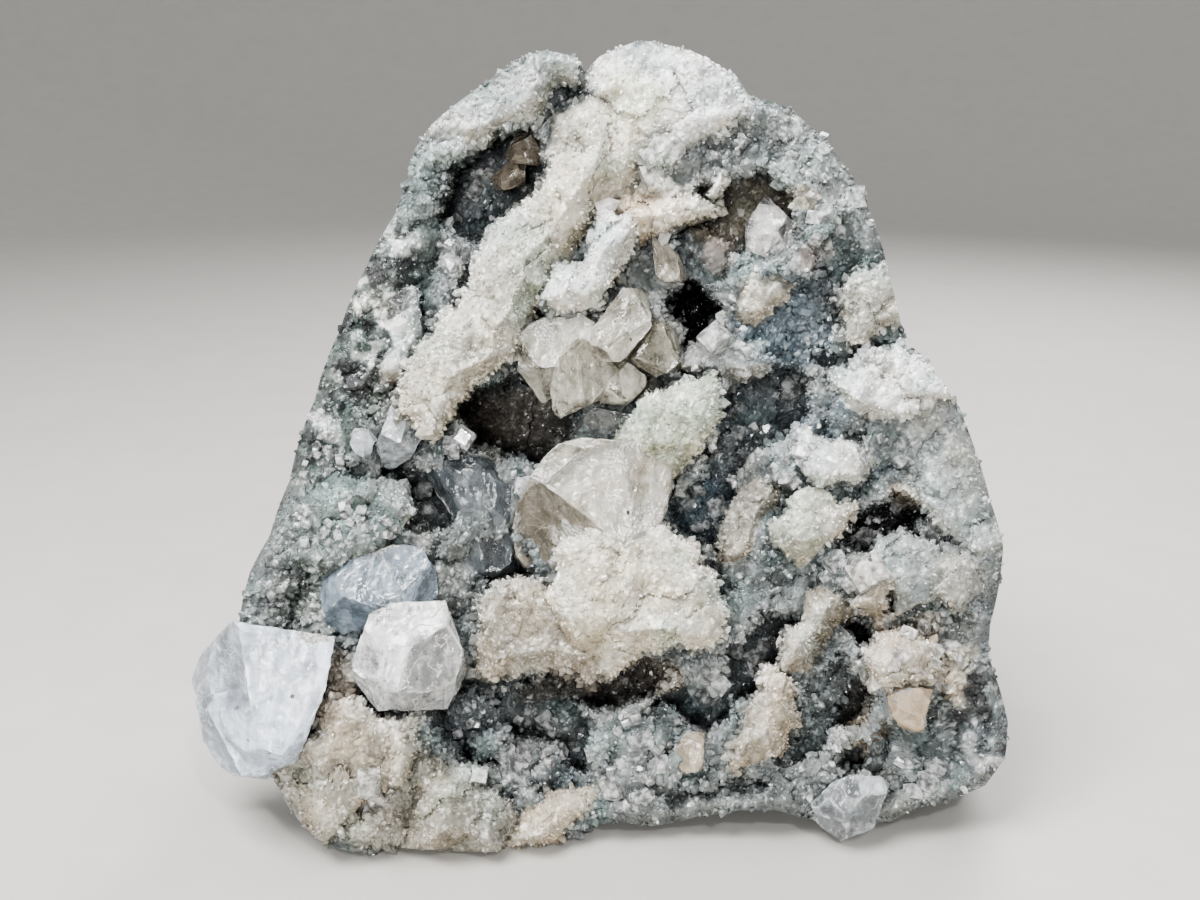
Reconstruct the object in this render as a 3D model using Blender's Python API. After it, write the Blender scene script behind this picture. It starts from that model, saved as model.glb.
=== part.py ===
"""Apophyllite cluster: a standing block of rock with a drusy quartz face, frosted
blades and ledges on it, and blocky apophyllite crystals grown among them.

The front is laid out as it is seen by a viewer who stands before the stone: each
form has a place across and up a picture plane, in millimetres, and a height out
towards the viewer. It then lies on that line of sight at its real depth.
Across is +X, up is +Z, and the front faces -Y.
"""

import itertools
import math

import bmesh
import bpy
import numpy as np
from mathutils import Matrix

MM = 0.001

# Where the viewer stands, in millimetres from the stone's middle
EYE_BACK = 300.0
EYE_HEIGHT = 185.0
LOOK_DOWN = math.radians(17.0)
PICTURE_DISTANCE = 312.5

# The part's origin is the middle of its base, this far from the layout's own
SHIFT_X = 1.05
SHIFT_Y = 1.13

# The stone's face leans back, and swells at the lower left
FACE_OUT = 13.0
FACE_LEAN = -0.18
CORNER_SWELL = 7.0
BACK_DEPTH = -42.0
BACK_SHRINK = 0.82
BROKEN_BACK = 1.6
WORN_WALL = 0.012
RIM_ROUNDING = 5.0
FACE_MIDDLE = (4.0, -8.0)

FORM_INNER = 0.8
FORM_OUTER = 1.08
RIM_LEVEL = 2.0
BACK_BULGE = 4.0
BACK_CURVE = 1.6
WALL_RADIUS = 90.0

# Overlapping plates of crust, which run up to the right: their width, how much longer than wide
# they are, and how far one stands over the next
PLATE_WIDTH = 10.0
PLATE_STRETCH = 0.55
PLATE_HEIGHT = 6.0
PLATE_SEED = 23
PLATE_RUN = (0.58, 0.81)

# The gap to each crystal in its socket, and the height of the crystals over the floor, in millimetres
GAP = 0.35
FLOOR_GAP = 0.4

# The side of the block that cuts the base flat, in metres
FLOOR_BLOCK = 0.4

FACE_CELLS = 96
WALL_RINGS = 10
MATRIX_TRIANGLES = 3960

# The stone's edge as seen from the front, clockwise from the left peak: across, up
OUTLINE = (
    (-13.8, 100.0), (-6.3, 98.3), (-3.8, 94.5), (0.0, 98.5), (10.0, 102.5), (22.5, 100.0),
    (33.8, 93.8), (37.0, 88.8), (47.5, 85.3), (57.5, 76.0), (65.0, 65.0), (70.0, 52.5),
    (72.5, 42.5), (75.0, 32.5), (76.3, 26.3), (82.5, 21.3), (88.8, 12.5), (93.8, 0.0),
    (97.5, -12.5), (100.8, -23.8), (100.0, -32.5), (97.5, -43.8), (97.0, -51.3), (100.0, -60.0),
    (102.0, -68.0), (101.3, -76.8), (96.3, -83.8), (87.5, -87.5), (80.0, -89.0), (72.5, -93.0),
    (62.5, -93.8), (53.8, -92.5), (43.8, -90.0), (35.0, -90.0), (25.0, -91.5), (12.5, -94.0),
    (5.0, -92.8), (0.0, -93.5), (-6.3, -97.0), (-17.5, -99.5), (-30.0, -100.5), (-40.0, -100.0),
    (-50.0, -99.5), (-62.5, -100.5), (-71.3, -97.0), (-77.5, -90.0), (-81.3, -82.5),
    (-84.5, -73.8), (-87.5, -62.5), (-90.5, -50.0), (-90.0, -41.3), (-87.5, -30.5),
    (-82.5, -21.3), (-77.5, -7.5), (-71.3, 12.5), (-65.0, 30.0), (-58.8, 45.0), (-51.3, 58.8),
    (-48.8, 65.5), (-46.3, 75.0), (-42.0, 81.5), (-35.0, 87.3), (-27.5, 92.5), (-21.3, 97.5),
)

# Forms of the rock face, each laid over those before it: name, across, up,
# half length, half width, turn in degrees, height over the leaning face
FORMS = (
    ("crown", 15.0, 90.0, 24.0, 12.0, -8, 5.0),
    ("crown dip", 9.3, 86.8, 8.0, 8.5, 70, 1.5),
    ("crown seam", -4.5, 90.0, 3.5, 8.0, 75, -2.0),
    ("left arc", -34.0, 84.0, 18.0, 6.0, 38, 5.0),
    ("bridge", 7.0, 68.0, 18.0, 12.0, 25, 6.0),
    ("bridge dip", 25.0, 71.0, 6.5, 7.0, 0, 2.5),
    ("arch lip", 24.0, 60.0, 17.0, 4.5, 22, 6.5),
    ("right shoulder", 56.0, 62.0, 15.0, 13.0, -55, 5.0),
    ("upper left hollow", -29.3, 61.3, 23.0, 11.5, 68, -24.0),
    ("hollow step", -33.5, 46.5, 7.0, 5.5, 40, -9.0),
    ("left shelf", -47.0, 36.0, 21.0, 9.0, 68, -1.0),
    ("arch pit", 34.0, 58.5, 14.5, 11.0, 25, -17.0),
    ("arch pit wall", 27.5, 47.5, 8.0, 8.0, 0, -9.0),
    ("black hole", 24.3, 33.3, 9.0, 6.5, 110, -30.0),
    ("black slit", 24.0, 22.5, 5.0, 2.5, 70, -24.0),
    ("smooth face", 49.3, 32.0, 12.0, 11.0, -40, -7.0),
    ("shoulder dip", 61.0, 48.0, 10.0, 6.5, 75, -6.0),
    ("shadow cleft", 64.5, 23.5, 13.5, 4.0, -4, -13.0),
    ("middle cavity", 40.5, 10.5, 14.0, 10.5, 35, -21.0),
    ("middle cavity foot", 33.0, -1.5, 8.0, 7.0, 60, -13.0),
    ("right lobe", 76.0, 0.0, 26.0, 18.0, -58, 2.0),
    ("right lobe brow", 70.0, 17.0, 11.0, 6.5, -8, 8.0),
    ("right tuft", 59.0, -2.8, 6.0, 5.0, 20, 6.0),
    ("right plain", 87.0, -12.0, 13.0, 12.0, -60, 4.0),
    ("right hollow", 70.0, -20.5, 11.5, 8.0, 28, -16.0),
    ("right hollow flank", 81.5, -21.0, 5.0, 6.0, 60, -5.0),
    ("warm stain rise", 91.5, -33.0, 8.5, 10.0, 70, 2.5),
    ("sparkle bank", 61.0, -32.0, 8.5, 5.0, -10, 3.0),
    ("right bank", 86.0, -49.0, 11.0, 8.0, -30, 2.0),
    ("deep blue face", 26.8, -16.3, 10.5, 9.0, 40, -14.0),
    ("centre cavity", -20.0, 8.5, 15.0, 11.5, 15, -28.0),
    ("left pit", -45.5, -12.0, 12.0, 8.0, -48, -15.0),
    ("left bank", -66.0, -20.0, 17.0, 10.0, 8, 1.0),
    ("left bank foot", -76.0, -37.0, 12.0, 8.0, -15, -1.0),
    ("dark gap", -23.5, -31.5, 5.0, 8.0, 0, -18.0),
    ("lower left pit", -21.0, -69.5, 24.0, 13.5, -22, -18.0),
    ("pit bank", -17.0, -78.5, 14.0, 6.0, -12, -5.0),
    ("plate shadow", 0.0, -57.0, 17.0, 6.0, 12, -18.0),
    ("lower nook", 17.5, -64.0, 8.0, 6.0, 20, -17.0),
    ("lower lumps", 9.0, -74.5, 12.5, 8.5, -10, 0.0),
    ("dark channel", 38.0, -51.5, 13.5, 6.0, 52, -19.0),
    ("channel foot", 27.0, -66.0, 7.0, 6.0, 40, -14.0),
    ("ridge shade", 53.0, -66.0, 14.0, 7.0, 60, -9.0),
    ("small nook", 64.0, -45.5, 4.5, 3.5, 0, -14.0),
    ("brown hollow", 63.0, -63.0, 7.5, 6.0, 60, -17.0),
    ("brown hollow foot", 62.0, -77.0, 5.0, 3.5, 20, -14.0),
    ("right foot slab", 84.5, -75.0, 19.0, 10.5, 12, -5.0),
    ("bottom cleft", 27.0, -86.0, 14.0, 3.5, 5, -8.0),
    ("foot mound", -56.0, -87.0, 30.0, 13.0, -12, 5.0),
    ("crystal bed", -67.0, -62.0, 9.0, 15.0, 0, 3.0),
)

# Blocks grown on the face. Each is bounded by an outline as seen from the front, by
# flat faces, and by a root in the rock. A face is (slope across, slope up, reach):
# it meets the block's flat top at that share of the block's half size.
# rise is the top's height over the leaning face, and depth runs from it to the root.
DOME = ((0, 0, 0), (0.7, 0, 0.45), (-0.7, 0, 0.45), (0, 0.7, 0.45), (0, -0.7, 0.45))
LOW_DOME = ((0, 0, 0), (0.4, 0, 0.4), (-0.4, 0, 0.4), (0, 0.4, 0.4), (0, -0.4, 0.4))

CRYSTALS = {
    "corner_crystal": (
        dict(
            outline=((-92, -42.5), (-66, -46.5), (-68.5, -60), (-75, -77), (-82, -80.5),
                     (-86, -78), (-97.5, -69), (-103, -59), (-100, -51)),
            rise=13, depth=26,
            faces=((-0.15, -0.15, 0), (0.85, 0.0, 0.12), (0.3, 0.9, 0.62), (-0.6, 0.2, 0.6)),
        ),
        dict(
            outline=((-101.5, -62), (-99.5, -72.5), (-95.5, -79), (-92, -81.5), (-84, -82.5),
                     (-77, -81), (-72, -70), (-85, -58)),
            rise=5, depth=20, faces=((0.1, 0.2, 0), (0.8, 0.4, 0.3)),
        ),
    ),
    "knuckle_crystal": (
        dict(
            outline=((-62.3, -52.5), (-58, -41), (-52, -37.8), (-38.5, -37.3), (-35.5, -45.5),
                     (-32.8, -54), (-35, -60), (-38, -65), (-45.5, -65.5), (-56, -65.5), (-61.8, -58)),
            rise=15, depth=26,
            faces=((0, -0.1, 0), (-0.75, 0.1, 0.35), (0.6, -0.2, 0.4), (0.1, -0.8, 0.4), (-0.2, 0.8, 0.45)),
        ),
    ),
    "blue_tablet": (
        dict(
            outline=((-71, -31), (-61.5, -27), (-52, -23.4), (-40.8, -24.5), (-40.5, -30),
                     (-37, -35), (-42, -40), (-64.8, -46.5), (-71.5, -44.5), (-70.3, -37)),
            rise=8, depth=18, faces=((0.05, -0.45, 0), (-0.8, 0.1, 0.6), (0.3, 0.5, 0.5), (0.7, -0.3, 0.55)),
        ),
    ),
    "twin_crystals": (
        dict(
            outline=((-55.5, 10.2), (-53, 12.4), (-47.5, 12), (-45, 9.9), (-44, 4), (-46.3, -1),
                     (-48.5, -4.5), (-52.7, -5.3), (-55.3, -4.2), (-56.3, 2)),
            rise=9, depth=17, faces=((0, -0.3, 0), (-0.6, 0.1, 0.5), (0.1, 0.8, 0.25)),
        ),
        dict(
            outline=((-61.5, 5.5), (-57.5, 5.4), (-54.7, 0.5), (-55, -1), (-57.8, -3),
                     (-61.3, -1), (-63, 1.5)),
            rise=9, depth=15, faces=((0.1, 0, 0), (0.7, 0.5, 0.6), (-0.7, 0.5, 0.6)),
        ),
    ),
    "smoky_crystal": (
        dict(
            outline=((-45.5, -3), (-37.5, 0), (-27.5, -2.5), (-20, -7.5), (-19.5, -15), (-25, -22.5),
                     (-36.5, -17.5), (-40.8, -11.3)),
            rise=5, depth=18, faces=LOW_DOME,
        ),
        dict(
            outline=((-36.5, -16), (-22.5, -14), (-19.8, -30), (-26.3, -32.3), (-36.5, -30.5), (-38.3, -24)),
            rise=2, depth=15, faces=((0, 0.1, 0), (0.5, 0.2, 0.5), (-0.5, 0.1, 0.6)),
        ),
    ),
    "centre_cluster": (
        dict(
            outline=((-14.8, -2), (-10.8, 2), (-4, 3.3), (10, 2.5), (19, -3.3), (18.5, -10),
                     (16.3, -17.5), (10, -23.8), (-10, -32.5), (-17.5, -32), (-22, -26.3),
                     (-22.3, -20), (-20.8, -12.5), (-18.8, -7.5)),
            rise=16, depth=36,
            faces=((0, -0.12, 0), (-0.5, -0.2, 0.55), (0.1, -0.7, 0.5), (0.5, 0.55, 0.12)),
        ),
        dict(
            outline=((4.3, 3), (10, 10), (14.3, 14.5), (22.5, 16.5), (28, 17.3), (31, 13.3),
                     (31.5, 7.5), (29, 2.5), (25, -3), (19, -6.5), (13.8, -5)),
            rise=14, depth=32, faces=DOME,
        ),
        dict(
            outline=((-2.5, -17.5), (13, -16.3), (18, -17.8), (26.5, -26.5), (30.5, -38.8), (30.5, -45),
                     (28, -47.5), (10, -51.3), (0, -53.5), (-10, -47.5), (-13.8, -37.5), (-10, -27.5)),
            rise=18, depth=34, faces=((0.05, -0.3, 0), (-0.6, 0.1, 0.6), (0.1, 0.75, 0.5), (0.5, 0.1, 0.7)),
        ),
        dict(
            outline=((-23.8, -33), (-15, -32.5), (-3.8, -40.5), (2.5, -50), (-2.5, -54.8), (-18.3, -55.5),
                     (-26.5, -56), (-30, -53), (-32, -47.5), (-32, -43), (-28.8, -37.5)),
            rise=11, depth=28, faces=((0.1, -0.2, 0), (0.6, 0.2, 0.5), (0, 0.7, 0.4)),
        ),
    ),
    "hanging_crystals": (
        dict(
            outline=((-21, 28.3), (-18.5, 31.8), (-8.5, 35.8), (0, 32.5), (0, 20), (-6.3, 16.3),
                     (-13, 11.8), (-14.8, 11.5), (-20.8, 19.5)),
            rise=13, depth=30, faces=((0.1, -0.3, 0), (0.6, 0.1, 0.5), (0, 0.8, 0.1)),
        ),
        dict(
            outline=((-6.3, 28.8), (2.5, 25), (6.3, 21.3), (-0.5, 12), (-6, 9.5), (-10.8, 7.3),
                     (-13, 11.8), (-13, 16.3), (-10, 25)),
            rise=14, depth=28, faces=((0.3, 0.25, 0), (-0.6, 0.1, 0)),
        ),
        dict(
            outline=((6.5, 22.5), (12.8, 17.8), (12, 16), (7, 10.8), (-0.5, 11.5), (2, 19.8)),
            rise=11, depth=26, faces=((0, 0.2, 0), (-0.5, 0.4, 0.2)),
        ),
        dict(
            outline=((-2.5, 30), (5.8, 40.8), (10.5, 40.8), (12.5, 38.3), (13.3, 31.3), (7, 23.5),
                     (5.3, 22), (0.8, 22), (-2.3, 24.5)),
            rise=15, depth=30, faces=((-0.1, -0.1, 0), (0.5, -0.2, 0.8)),
        ),
        dict(
            outline=((12.8, 31.3), (17.3, 32.6), (19.5, 28.6), (21, 24), (21.3, 19.6), (18.7, 17.5),
                     (13.8, 17.8), (7, 23.3)),
            rise=8, depth=26, faces=((-0.2, 0.1, 0), (-0.8, 0, 0.4)),
        ),
    ),
    "clear_slab": (
        dict(
            outline=((8.3, 53.5), (14.8, 54.5), (19.3, 49.5), (22.3, 43.3), (23.5, 37.5), (22.8, 34),
                     (20, 32.2), (12.8, 34), (12.2, 42), (6, 42), (7, 47.5)),
            rise=8, depth=26, faces=((-0.15, -0.1, 0), (-0.7, 0.1, 0.6)),
        ),
    ),
    "tip_shadow_crystal": (
        dict(
            outline=((-6.8, 6.8), (-5.5, 3), (4.3, 3), (10, 10), (7, 10.3), (-1.5, 10.6)),
            rise=2, depth=24, faces=((0, 0.2, 0), (0.5, 0.1, 0.5)),
        ),
    ),
    "pyramid_crystal": (
        dict(
            outline=((41.3, 64.3), (36, 56.5), (36.5, 48.5), (39.3, 46.6), (47.5, 46.9), (50.5, 50),
                     (50, 55.5), (47.8, 58)),
            rise=4, depth=22, faces=((0.15, 0, 0), (-0.75, -0.2, 0.15), (0, -0.9, 0.35), (1.4, -0.3, 0.75)),
        ),
    ),
    "crown_crystal": (
        dict(
            outline=((11, 79.1), (12.9, 80.3), (17.2, 79.1), (19.5, 73.4), (18.1, 68.6),
                     (12.9, 67.2), (10, 71)),
            rise=10, depth=16, faces=((0.2, -0.3, 0), (-0.5, 0.1, 0.3), (0.1, 0.6, 0.4)),
        ),
    ),
    "pit_crystals": (
        dict(
            outline=((-20.2, 80.8), (-16.1, 82), (-12.1, 77.3), (-15, 71), (-21.9, 71.6), (-24.7, 73.3)),
            rise=-6, depth=20, faces=((0.3, -0.2, 0), (-0.6, -0.1, 0.2)),
        ),
        dict(
            outline=((-27.6, 68.2), (-23, 72.2), (-18.5, 71.9), (-18.6, 65.9), (-26.5, 64.1)),
            rise=-9, depth=20, faces=LOW_DOME,
        ),
    ),
    "peach_crystal": (
        dict(
            outline=((71.5, -59.5), (77, -58.4), (84.5, -60), (85, -64.4), (82.3, -70.9),
                     (74.8, -69.8), (72, -64.9)),
            rise=8, depth=20, faces=((0, 0.1, 0), (-0.6, 0.1, 0.6), (0.3, 0.6, 0.5)),
        ),
    ),
    "toe_crystal": (
        dict(
            outline=((61.8, -81.2), (69.9, -81.2), (74.8, -85), (71.5, -92.5), (67.7, -96.3), (61.2, -98.3),
                     (56.9, -96.3), (53, -92), (52.5, -88.2), (58, -82.8)),
            rise=8, depth=24, faces=((0.1, -0.35, 0), (0.6, 0.1, 0.3), (-0.5, -0.1, 0.4), (0.1, 0.7, 0.4)),
        ),
    ),
    "hex_crystal": (
        dict(
            outline=((21.8, -69.9), (26.4, -70.5), (27.8, -72.8), (27.5, -79.7), (21.2, -81.4),
                     (18.3, -78.5),
                     (18.9, -73.9)),
            rise=5, depth=18, faces=((0, -0.1, 0), (-0.9, 0, 0.6), (0.6, 0.5, 0.6)),
        ),
    ),
}

# Quartz-frosted blades, ledges and mounds, laid out in the same way
GROWTHS = (
    # long ridge
    dict(
        outline=((-12, 75.5), (-25, 54.5), (-36.3, 40), (-48.8, 16.3), (-50.5, 8), (-40, 4.5),
                 (-33, 5.5), (-22, 18.8), (-10, 41.3), (5, 58.8), (6.3, 70)),
        rise=15, depth=34, faces=((0.42, -0.27, 0.02), (-0.75, 0.47, 0.04)),
    ),
    # upper spur
    dict(
        outline=((3.3, 59.5), (10, 60.5), (11, 58.8), (6.8, 47), (5.5, 42.5), (-1.5, 35.5), (-10, 36.3),
                 (-12.5, 40.5), (-11, 43.8), (-3.3, 50.5)),
        rise=17, depth=28, faces=((0.55, -0.4, 0), (-0.75, 0.2, 0.12), (0.1, 0.6, 0.5)),
    ),
    # hole ledge
    dict(
        outline=((22.5, 22), (26.5, 27.8), (30.8, 28.4), (39, 26.2), (39.2, 20.8), (33.5, 18.3), (27, 18.2)),
        rise=2, depth=26, faces=((0, -0.4, 0), (0.1, 0.7, 0.35)),
    ),
    # cream lump
    dict(
        outline=((34, 39.5), (36.8, 43.5), (41, 45.9), (48.3, 45), (47.3, 40), (43.5, 35.1), (38.7, 33.3),
                 (35.3, 36.1)),
        rise=3, depth=20, faces=DOME,
    ),
    # white facet
    dict(
        outline=((62, 44.3), (67.4, 48), (71.7, 50.5), (73.7, 47), (76.7, 39), (77.7, 30.3),
                 (72.2, 29.9), (65, 28.5), (60.7, 29.4), (60.7, 36)),
        rise=7, depth=18, faces=((0.15, 0.05, 0), (0, 0.9, 0.75), (-0.8, 0, 0.8)),
    ),
    # right blade
    dict(
        outline=((40, -9.5), (46.5, -12.3), (44.4, -17.7), (35.7, -27.5), (30.9, -27.5),
                 (31.2, -22), (34, -15.5)),
        rise=3, depth=22, faces=((0.5, -0.3, 0), (-0.75, 0.4, 0.1)),
    ),
    # right knob
    dict(
        outline=((52, -11.2), (58, -13.4), (63.9, -16), (59.5, -21), (54.7, -26.4), (49.3, -29),
                 (43.9, -23.1), (46, -17.7), (48.7, -13.3)),
        rise=10, depth=26, faces=DOME,
    ),
    # cream ledge
    dict(
        outline=((62.3, -40.5), (67.7, -31.8), (74.2, -30.8), (76.4, -32.4), (72, -38.3),
                 (69.9, -44.9), (66, -42.7)),
        rise=11, depth=22, faces=((0.2, -0.3, 0), (-0.5, 0.1, 0.4), (0.1, 0.7, 0.3)),
    ),
    # rosy ledge
    dict(
        outline=((61.8, -54.6), (64.5, -50.3), (71.5, -47.5), (77.5, -49.2), (85, -54.6), (84.2, -58),
                 (77, -57.6), (70.4, -59.5), (67.2, -58.9)),
        rise=14, depth=28, faces=((0.1, -0.5, 0), (-0.7, 0.2, 0.5), (0.6, 0.3, 0.3)),
    ),
    # lower ridge
    dict(
        outline=((51.5, -33.5), (58, -36.8), (61, -41.5), (55, -50.8), (47.5, -58.3), (41.3, -54.5),
                 (45, -47.5), (46, -41)),
        rise=7, depth=26, faces=((0.5, -0.3, 0), (-0.75, 0.45, 0.1)),
    ),
    dict(
        outline=((41.3, -54), (48, -57.5), (45.5, -65.5), (43, -72), (38, -79), (34, -80), (31.8, -77.5),
                 (33.5, -69.5), (36, -62.5)),
        rise=9, depth=26, faces=((0.5, -0.25, 0), (-0.75, 0.35, 0.1), (0.1, 0.6, 0.4)),
    ),
    # small blade
    dict(
        outline=((68.3, -62), (71.2, -65.5), (71, -71), (66, -74.7), (61.8, -73), (61.8, -69.8)),
        rise=-2, depth=16, faces=((0.2, 0, 0), (-0.5, 0.3, 0.3)),
    ),
    # base mound
    dict(
        outline=((-74.8, -76), (-71, -67.8), (-61.5, -66.5), (-40, -66.5), (-40, -72.5), (-45.4, -77.4),
                 (-47.6, -81.5), (-50.5, -97.5), (-53, -99.4), (-62.8, -103.1), (-72.5, -98),
                 (-77.9, -91.5), (-83.3, -84)),
        rise=9, depth=30, faces=((0.1, 0.05, 0), (0.5, 0.2, 0.4), (-0.5, 0.1, 0.5), (0.1, 0.9, 0.8)),
    ),
    # base cluster
    dict(
        outline=((-46.5, -82), (-42.5, -78.5), (-36.3, -78.5), (-31, -83), (-24.8, -87.7), (-21.3, -92.8),
                 (-24.8, -98), (-26, -101), (-38.5, -102.5), (-48.9, -100.3), (-49.4, -98)),
        rise=11, depth=28, faces=DOME,
    ),
    # bottom edge
    dict(
        outline=((-20.3, -92.8), (-15.5, -88.3), (-8.8, -84.8), (-2.3, -84.3), (-1.3, -91), (-8, -96.9),
                 (-13.3, -99.5), (-19, -102), (-24.8, -101.5)),
        rise=5, depth=22, faces=((0.1, -0.5, 0), (0, 0.8, 0.4)),
    ),
    # crown
    dict(
        outline=((0, 98), (10, 102), (22.5, 99.5), (33.8, 93), (36.3, 88.5), (28.8, 80), (20, 77.5),
                 (10, 75), (2.3, 80), (-0.5, 92)),
        rise=8, depth=24, faces=((0.1, 0.1, 0), (0.6, 0.3, 0.55), (-0.4, -0.5, 0.5)),
    ),
    # left peak
    dict(
        outline=((-45, 82.5), (-35, 88), (-21.3, 97.3), (-7, 98), (-5, 92), (-13, 83), (-20, 81),
                 (-31.8, 77.5),
                 (-40, 75)),
        rise=7, depth=24, faces=((0.1, 0.1, 0), (-0.3, 0.6, 0.2)),
    ),
    # saddle
    dict(
        outline=((-13.3, 75), (-12, 83), (0, 87.5), (10, 76), (10, 62.5), (3, 53.5), (-3.3, 60)),
        rise=9, depth=28, faces=((0.3, -0.2, 0), (-0.5, 0.2, 0.3)),
    ),
    # arch lip, lower
    dict(
        outline=((2.5, 60), (9.5, 51), (15.3, 54.5), (22, 57.8), (25.6, 61.4), (20.4, 66.2), (10, 65)),
        rise=11.4, depth=25, faces=((0.1, 0.4, 0.1), (-0.1, -0.5, 0.1), (0.5, 0.1, 0.5)),
    ),
    # arch lip, upper
    dict(
        outline=((21.5, 60.5), (25.3, 62), (28, 65), (29, 69), (32, 72), (36.3, 73), (40.5, 79), (35, 82.5),
                 (27, 77), (21, 69)),
        rise=9, depth=26, faces=((0.3, -0.2, 0.1), (-0.5, 0.4, 0.1)),
    ),
    # right brow
    dict(
        outline=((61.3, 18.8), (67.5, 23), (76.3, 23.8), (85, 17.5), (88, 11.3), (78.8, 8.8),
                 (67.5, 9), (62, 12.5)),
        rise=10, depth=24, faces=((-0.1, -0.2, 0), (0.1, 0.7, 0.3), (0.6, 0.1, 0.5)),
    ),
    # right rim
    dict(
        outline=((76.3, 22.5), (84, 17.5), (95, -5.8), (99.5, -22.5), (93.8, -23.8),
                 (83.8, -17.5), (76.3, -5),
                 (75, 7.5)),
        rise=5, depth=20, faces=((-0.15, -0.1, 0), (0.5, -0.1, 0.4)),
    ),
)

COLOURS = {
    "matrix": ((0.42, 0.45, 0.47), 0.6),
    "crystal": ((0.86, 0.88, 0.9), 0.15),
}


def on_sight(across, up, out):
    """Points on the lines of sight through a place in the picture, out mm before the middle."""
    run = (EYE_BACK - out) / (PICTURE_DISTANCE * math.cos(LOOK_DOWN) + up * math.sin(LOOK_DOWN))
    x = run * across - SHIFT_X
    z = EYE_HEIGHT + run * (up * math.cos(LOOK_DOWN) - PICTURE_DISTANCE * math.sin(LOOK_DOWN))
    return np.stack(np.broadcast_arrays(x, -out - SHIFT_Y, z), axis=-1)


def smooth_step(low, high, value):
    """0 below low, 1 above high, with a soft change between."""
    share = np.clip((value - low) / (high - low), 0, 1)
    return share * share * (3 - 2 * share)


def leaning_face(across, up):
    """Height of the plain face: a plane that leans back, with a swelling at the lower left."""
    swell = smooth_step(25, 75, -across) * smooth_step(25, 80, -up)
    return FACE_OUT + FACE_LEAN * up + CORNER_SWELL * swell


def rock_noise(across, up):
    """Small lumps all over: waves of unlike length and heading that never line up."""
    waves = ((0.31, 0.13, 0.7), (-0.17, 0.29, 0.7), (0.45, -0.38, 0.5), (0.62, 0.35, 0.35))
    return sum(
        size * np.sin(turn_a * across + turn_b * up + 2.0 * i + np.sin(turn_b * across - turn_a * up))
        for i, (turn_a, turn_b, size) in enumerate(waves)
    )


def hashed(i, j, seed):
    """A repeatable number from 0 to 1 for each pair of whole numbers."""
    mixed = np.sin(i * 127.1 + j * 311.7 + seed * 74.7) * 43758.5453
    return mixed - np.floor(mixed)


def plates(across, up):
    """Height of long overlapping plates: each cell of a stretched grid holds one, which has its own
    level and a low dome. The nearest counts.
    """
    run_across, run_up = PLATE_RUN
    along = PLATE_STRETCH * (run_across * across + run_up * up) / PLATE_WIDTH
    aside = (run_up * across - run_across * up) / PLATE_WIDTH
    cell_i, cell_j = np.floor(along), np.floor(aside)
    nearest = np.full(across.shape, np.inf)
    level = np.zeros(across.shape)
    for step_i, step_j in itertools.product((-1, 0, 1), repeat=2):
        i, j = cell_i + step_i, cell_j + step_j
        off_along = along - (i + 0.5 + 0.9 * (hashed(i, j, PLATE_SEED) - 0.5))
        off_aside = aside - (j + 0.5 + 0.9 * (hashed(i, j, PLATE_SEED + 1) - 0.5))
        squared = off_along**2 + off_aside**2
        level = np.where(squared < nearest, hashed(i, j, PLATE_SEED + 2), level)
        nearest = np.minimum(nearest, squared)
    return PLATE_HEIGHT * (0.34 * level - 0.6 * nearest)


def relief(across, up, share):
    """Height of the rock face. Each form pulls the face to its own level inside a soft ellipse."""
    level = np.zeros_like(across)
    for _, mid_across, mid_up, half_long, half_wide, turn, height in FORMS:
        angle = math.radians(turn)
        along = (across - mid_across) * math.cos(angle) + (up - mid_up) * math.sin(angle)
        aside = (up - mid_up) * math.cos(angle) - (across - mid_across) * math.sin(angle)
        distance = np.hypot(along / half_long, aside / half_wide)
        inside = 1 - smooth_step(FORM_INNER, FORM_OUTER, distance)
        level = level * (1 - inside) + height * inside
    rim = smooth_step(0.8, 1.0, share)
    level = level * (1 - rim) + RIM_LEVEL * rim
    rounded = RIM_ROUNDING * smooth_step(0.93, 1.0, share) ** 2
    lumps = rock_noise(across, up) + plates(across, up) * (1 - rim)
    return leaning_face(across, up) + level + lumps - rounded


def outline_reach(angle):
    """Distance from the face's middle to its edge, at each angle."""
    points = np.array(OUTLINE) - FACE_MIDDLE
    angles = np.arctan2(points[:, 1], points[:, 0])
    order = np.argsort(angles)
    return np.interp(angle, angles[order], np.hypot(*points.T)[order], period=2 * math.pi)


def square_to_disc(cells):
    """Angle and share of the radius for each point of a square grid stretched over a disc."""
    side = np.linspace(-1, 1, cells + 1)
    u, v = np.meshgrid(side, side, indexing="ij")
    share = np.maximum(np.abs(u), np.abs(v))
    return np.arctan2(np.tan(v * math.pi / 4), np.tan(u * math.pi / 4)), share


def rim_loop(cells):
    """Grid places round the edge of a square grid, in order."""
    last = cells
    return (
        [(i, 0) for i in range(last)]
        + [(last, j) for j in range(last)]
        + [(i, last) for i in range(last, 0, -1)]
        + [(0, j) for j in range(last, 0, -1)]
    )


def place(share, angle):
    """Across and up for a share of the way from the middle to the edge."""
    reach = outline_reach(angle) * share
    return FACE_MIDDLE[0] + reach * np.cos(angle), FACE_MIDDLE[1] + reach * np.sin(angle)


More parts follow.
